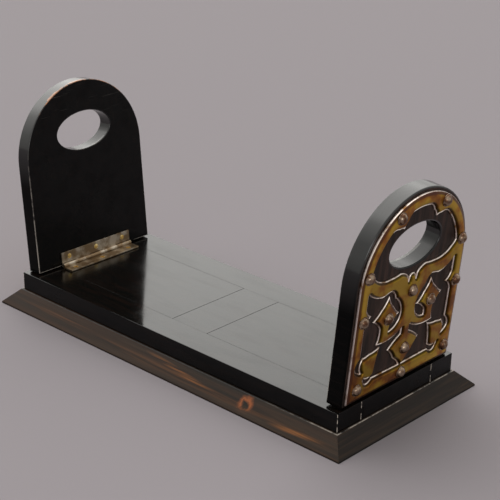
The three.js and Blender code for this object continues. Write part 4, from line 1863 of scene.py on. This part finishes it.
@dataclass
class Studio:
    """The pale floor, the soft light and the camera at the photograph's place."""

    azimuth: float = math.radians(42.846)
    elevation: float = math.radians(22.786)
    roll: float = math.radians(0.985)
    distance: float = 1.226091
    target: Point = (-0.064929, 0.096056, 0.03)
    focal_pixels: float = 1447.59
    picture_width: int = 500
    sensor: float = 36.0
    lamp_place: Point = (1.9, -1.5, 0.9)
    lamp_size: Place = (1.0, 0.9)
    # The brightness of the lamp's face, where 1 is white.
    lamp_level: float = 2.4
    window: Point = (-0.601, 0.321, 0.732)
    window_level: float = 2.5
    # A little warmer than white.
    window_tint: Point = (1.0, 0.99, 0.955)
    # The cosine of the angle from the window's middle, and the brightness there.
    window_fall: tuple[Place, ...] = (
        (0.0, 0.6), (0.45, 0.66), (0.74, 1.3), (0.85, 2.35), (1.0, 2.5)
    )

    def sky(self, level: float) -> Colour:
        """Returns the window's colour at a level."""
        red, green, blue = self.window_tint
        return (level * red, level * green, level * blue, 1.0)

    def build_floor(self) -> None:
        """Adds the floor."""
        clear_bench()
        bpy.ops.mesh.primitive_plane_add(size=60)
        floor = bpy.context.object
        floor.name = "floor"
        floor.data.materials.append(PaleFloor().material())

    def build_lamp(self) -> None:
        """Adds a softbox that faces the slide from the front right."""
        data = bpy.data.lights.new("front_right", "AREA")
        width, height = self.lamp_size
        data.shape, data.size, data.size_y = "RECTANGLE", width, height
        data.energy = self.lamp_level * math.pi * width * height
        lamp = add_object("front_right", data)
        lamp.location = self.lamp_place
        lamp.rotation_euler = (-Vector(self.lamp_place)).to_track_quat("-Z", "Y").to_euler()

    def build_window(self) -> None:
        """Makes a world that is brightest towards a wide window."""
        world = bpy.data.worlds.new("room_light")
        bpy.context.scene.world = world
        world.use_nodes = True
        tree = world.node_tree
        add = partial(add_node, tree)
        way = add("TexCoord", out="Generated")
        toward = add("VectorMath", (way, self.window), "Value", operation="DOT_PRODUCT")
        stops = [(at, self.sky(amount / self.window_level)) for at, amount in self.window_fall]
        level = add("ValToRGB", [toward], stops=stops)
        glow = next(n for n in tree.nodes if n.type == "BACKGROUND")
        feed(tree, glow, {"Color": level, "Strength": self.window_level})

    def build_camera(self) -> None:
        """Adds the camera."""
        across, up = math.cos(self.elevation), math.sin(self.elevation)
        back = Vector((math.sin(self.azimuth) * across, -math.cos(self.azimuth) * across, up))
        level_right = (-back).cross(Vector((0, 0, 1))).normalized()
        level_up = level_right.cross(-back)
        right = level_right * math.cos(self.roll) + level_up * math.sin(self.roll)
        top = level_up * math.cos(self.roll) - level_right * math.sin(self.roll)
        data = bpy.data.cameras.new("camera")
        data.sensor_width = self.sensor
        data.lens = self.focal_pixels / self.picture_width * self.sensor
        data.clip_start, data.clip_end = 0.05, 50
        camera = add_object("camera", data)
        turn = Matrix((right, top, back)).transposed()
        place = Vector(self.target) + back * self.distance
        camera.matrix_world = Matrix.Translation(place) @ turn.to_4x4()
        bpy.context.scene.camera = camera

    def build(self) -> None:
        """Adds all of it, and sets how the picture is shown."""
        self.build_camera()
        self.build_floor()
        self.build_lamp()
        self.build_window()
        bpy.context.scene.view_settings.view_transform = "Standard"


def main() -> None:
    """Builds the studio, the base and both sides."""
    logging.basicConfig(level=logging.INFO, format="%(message)s")
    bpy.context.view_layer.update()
    Studio().build()
    Platform().build()
    Joinery().build()


if __name__ == "__main__":
    main()
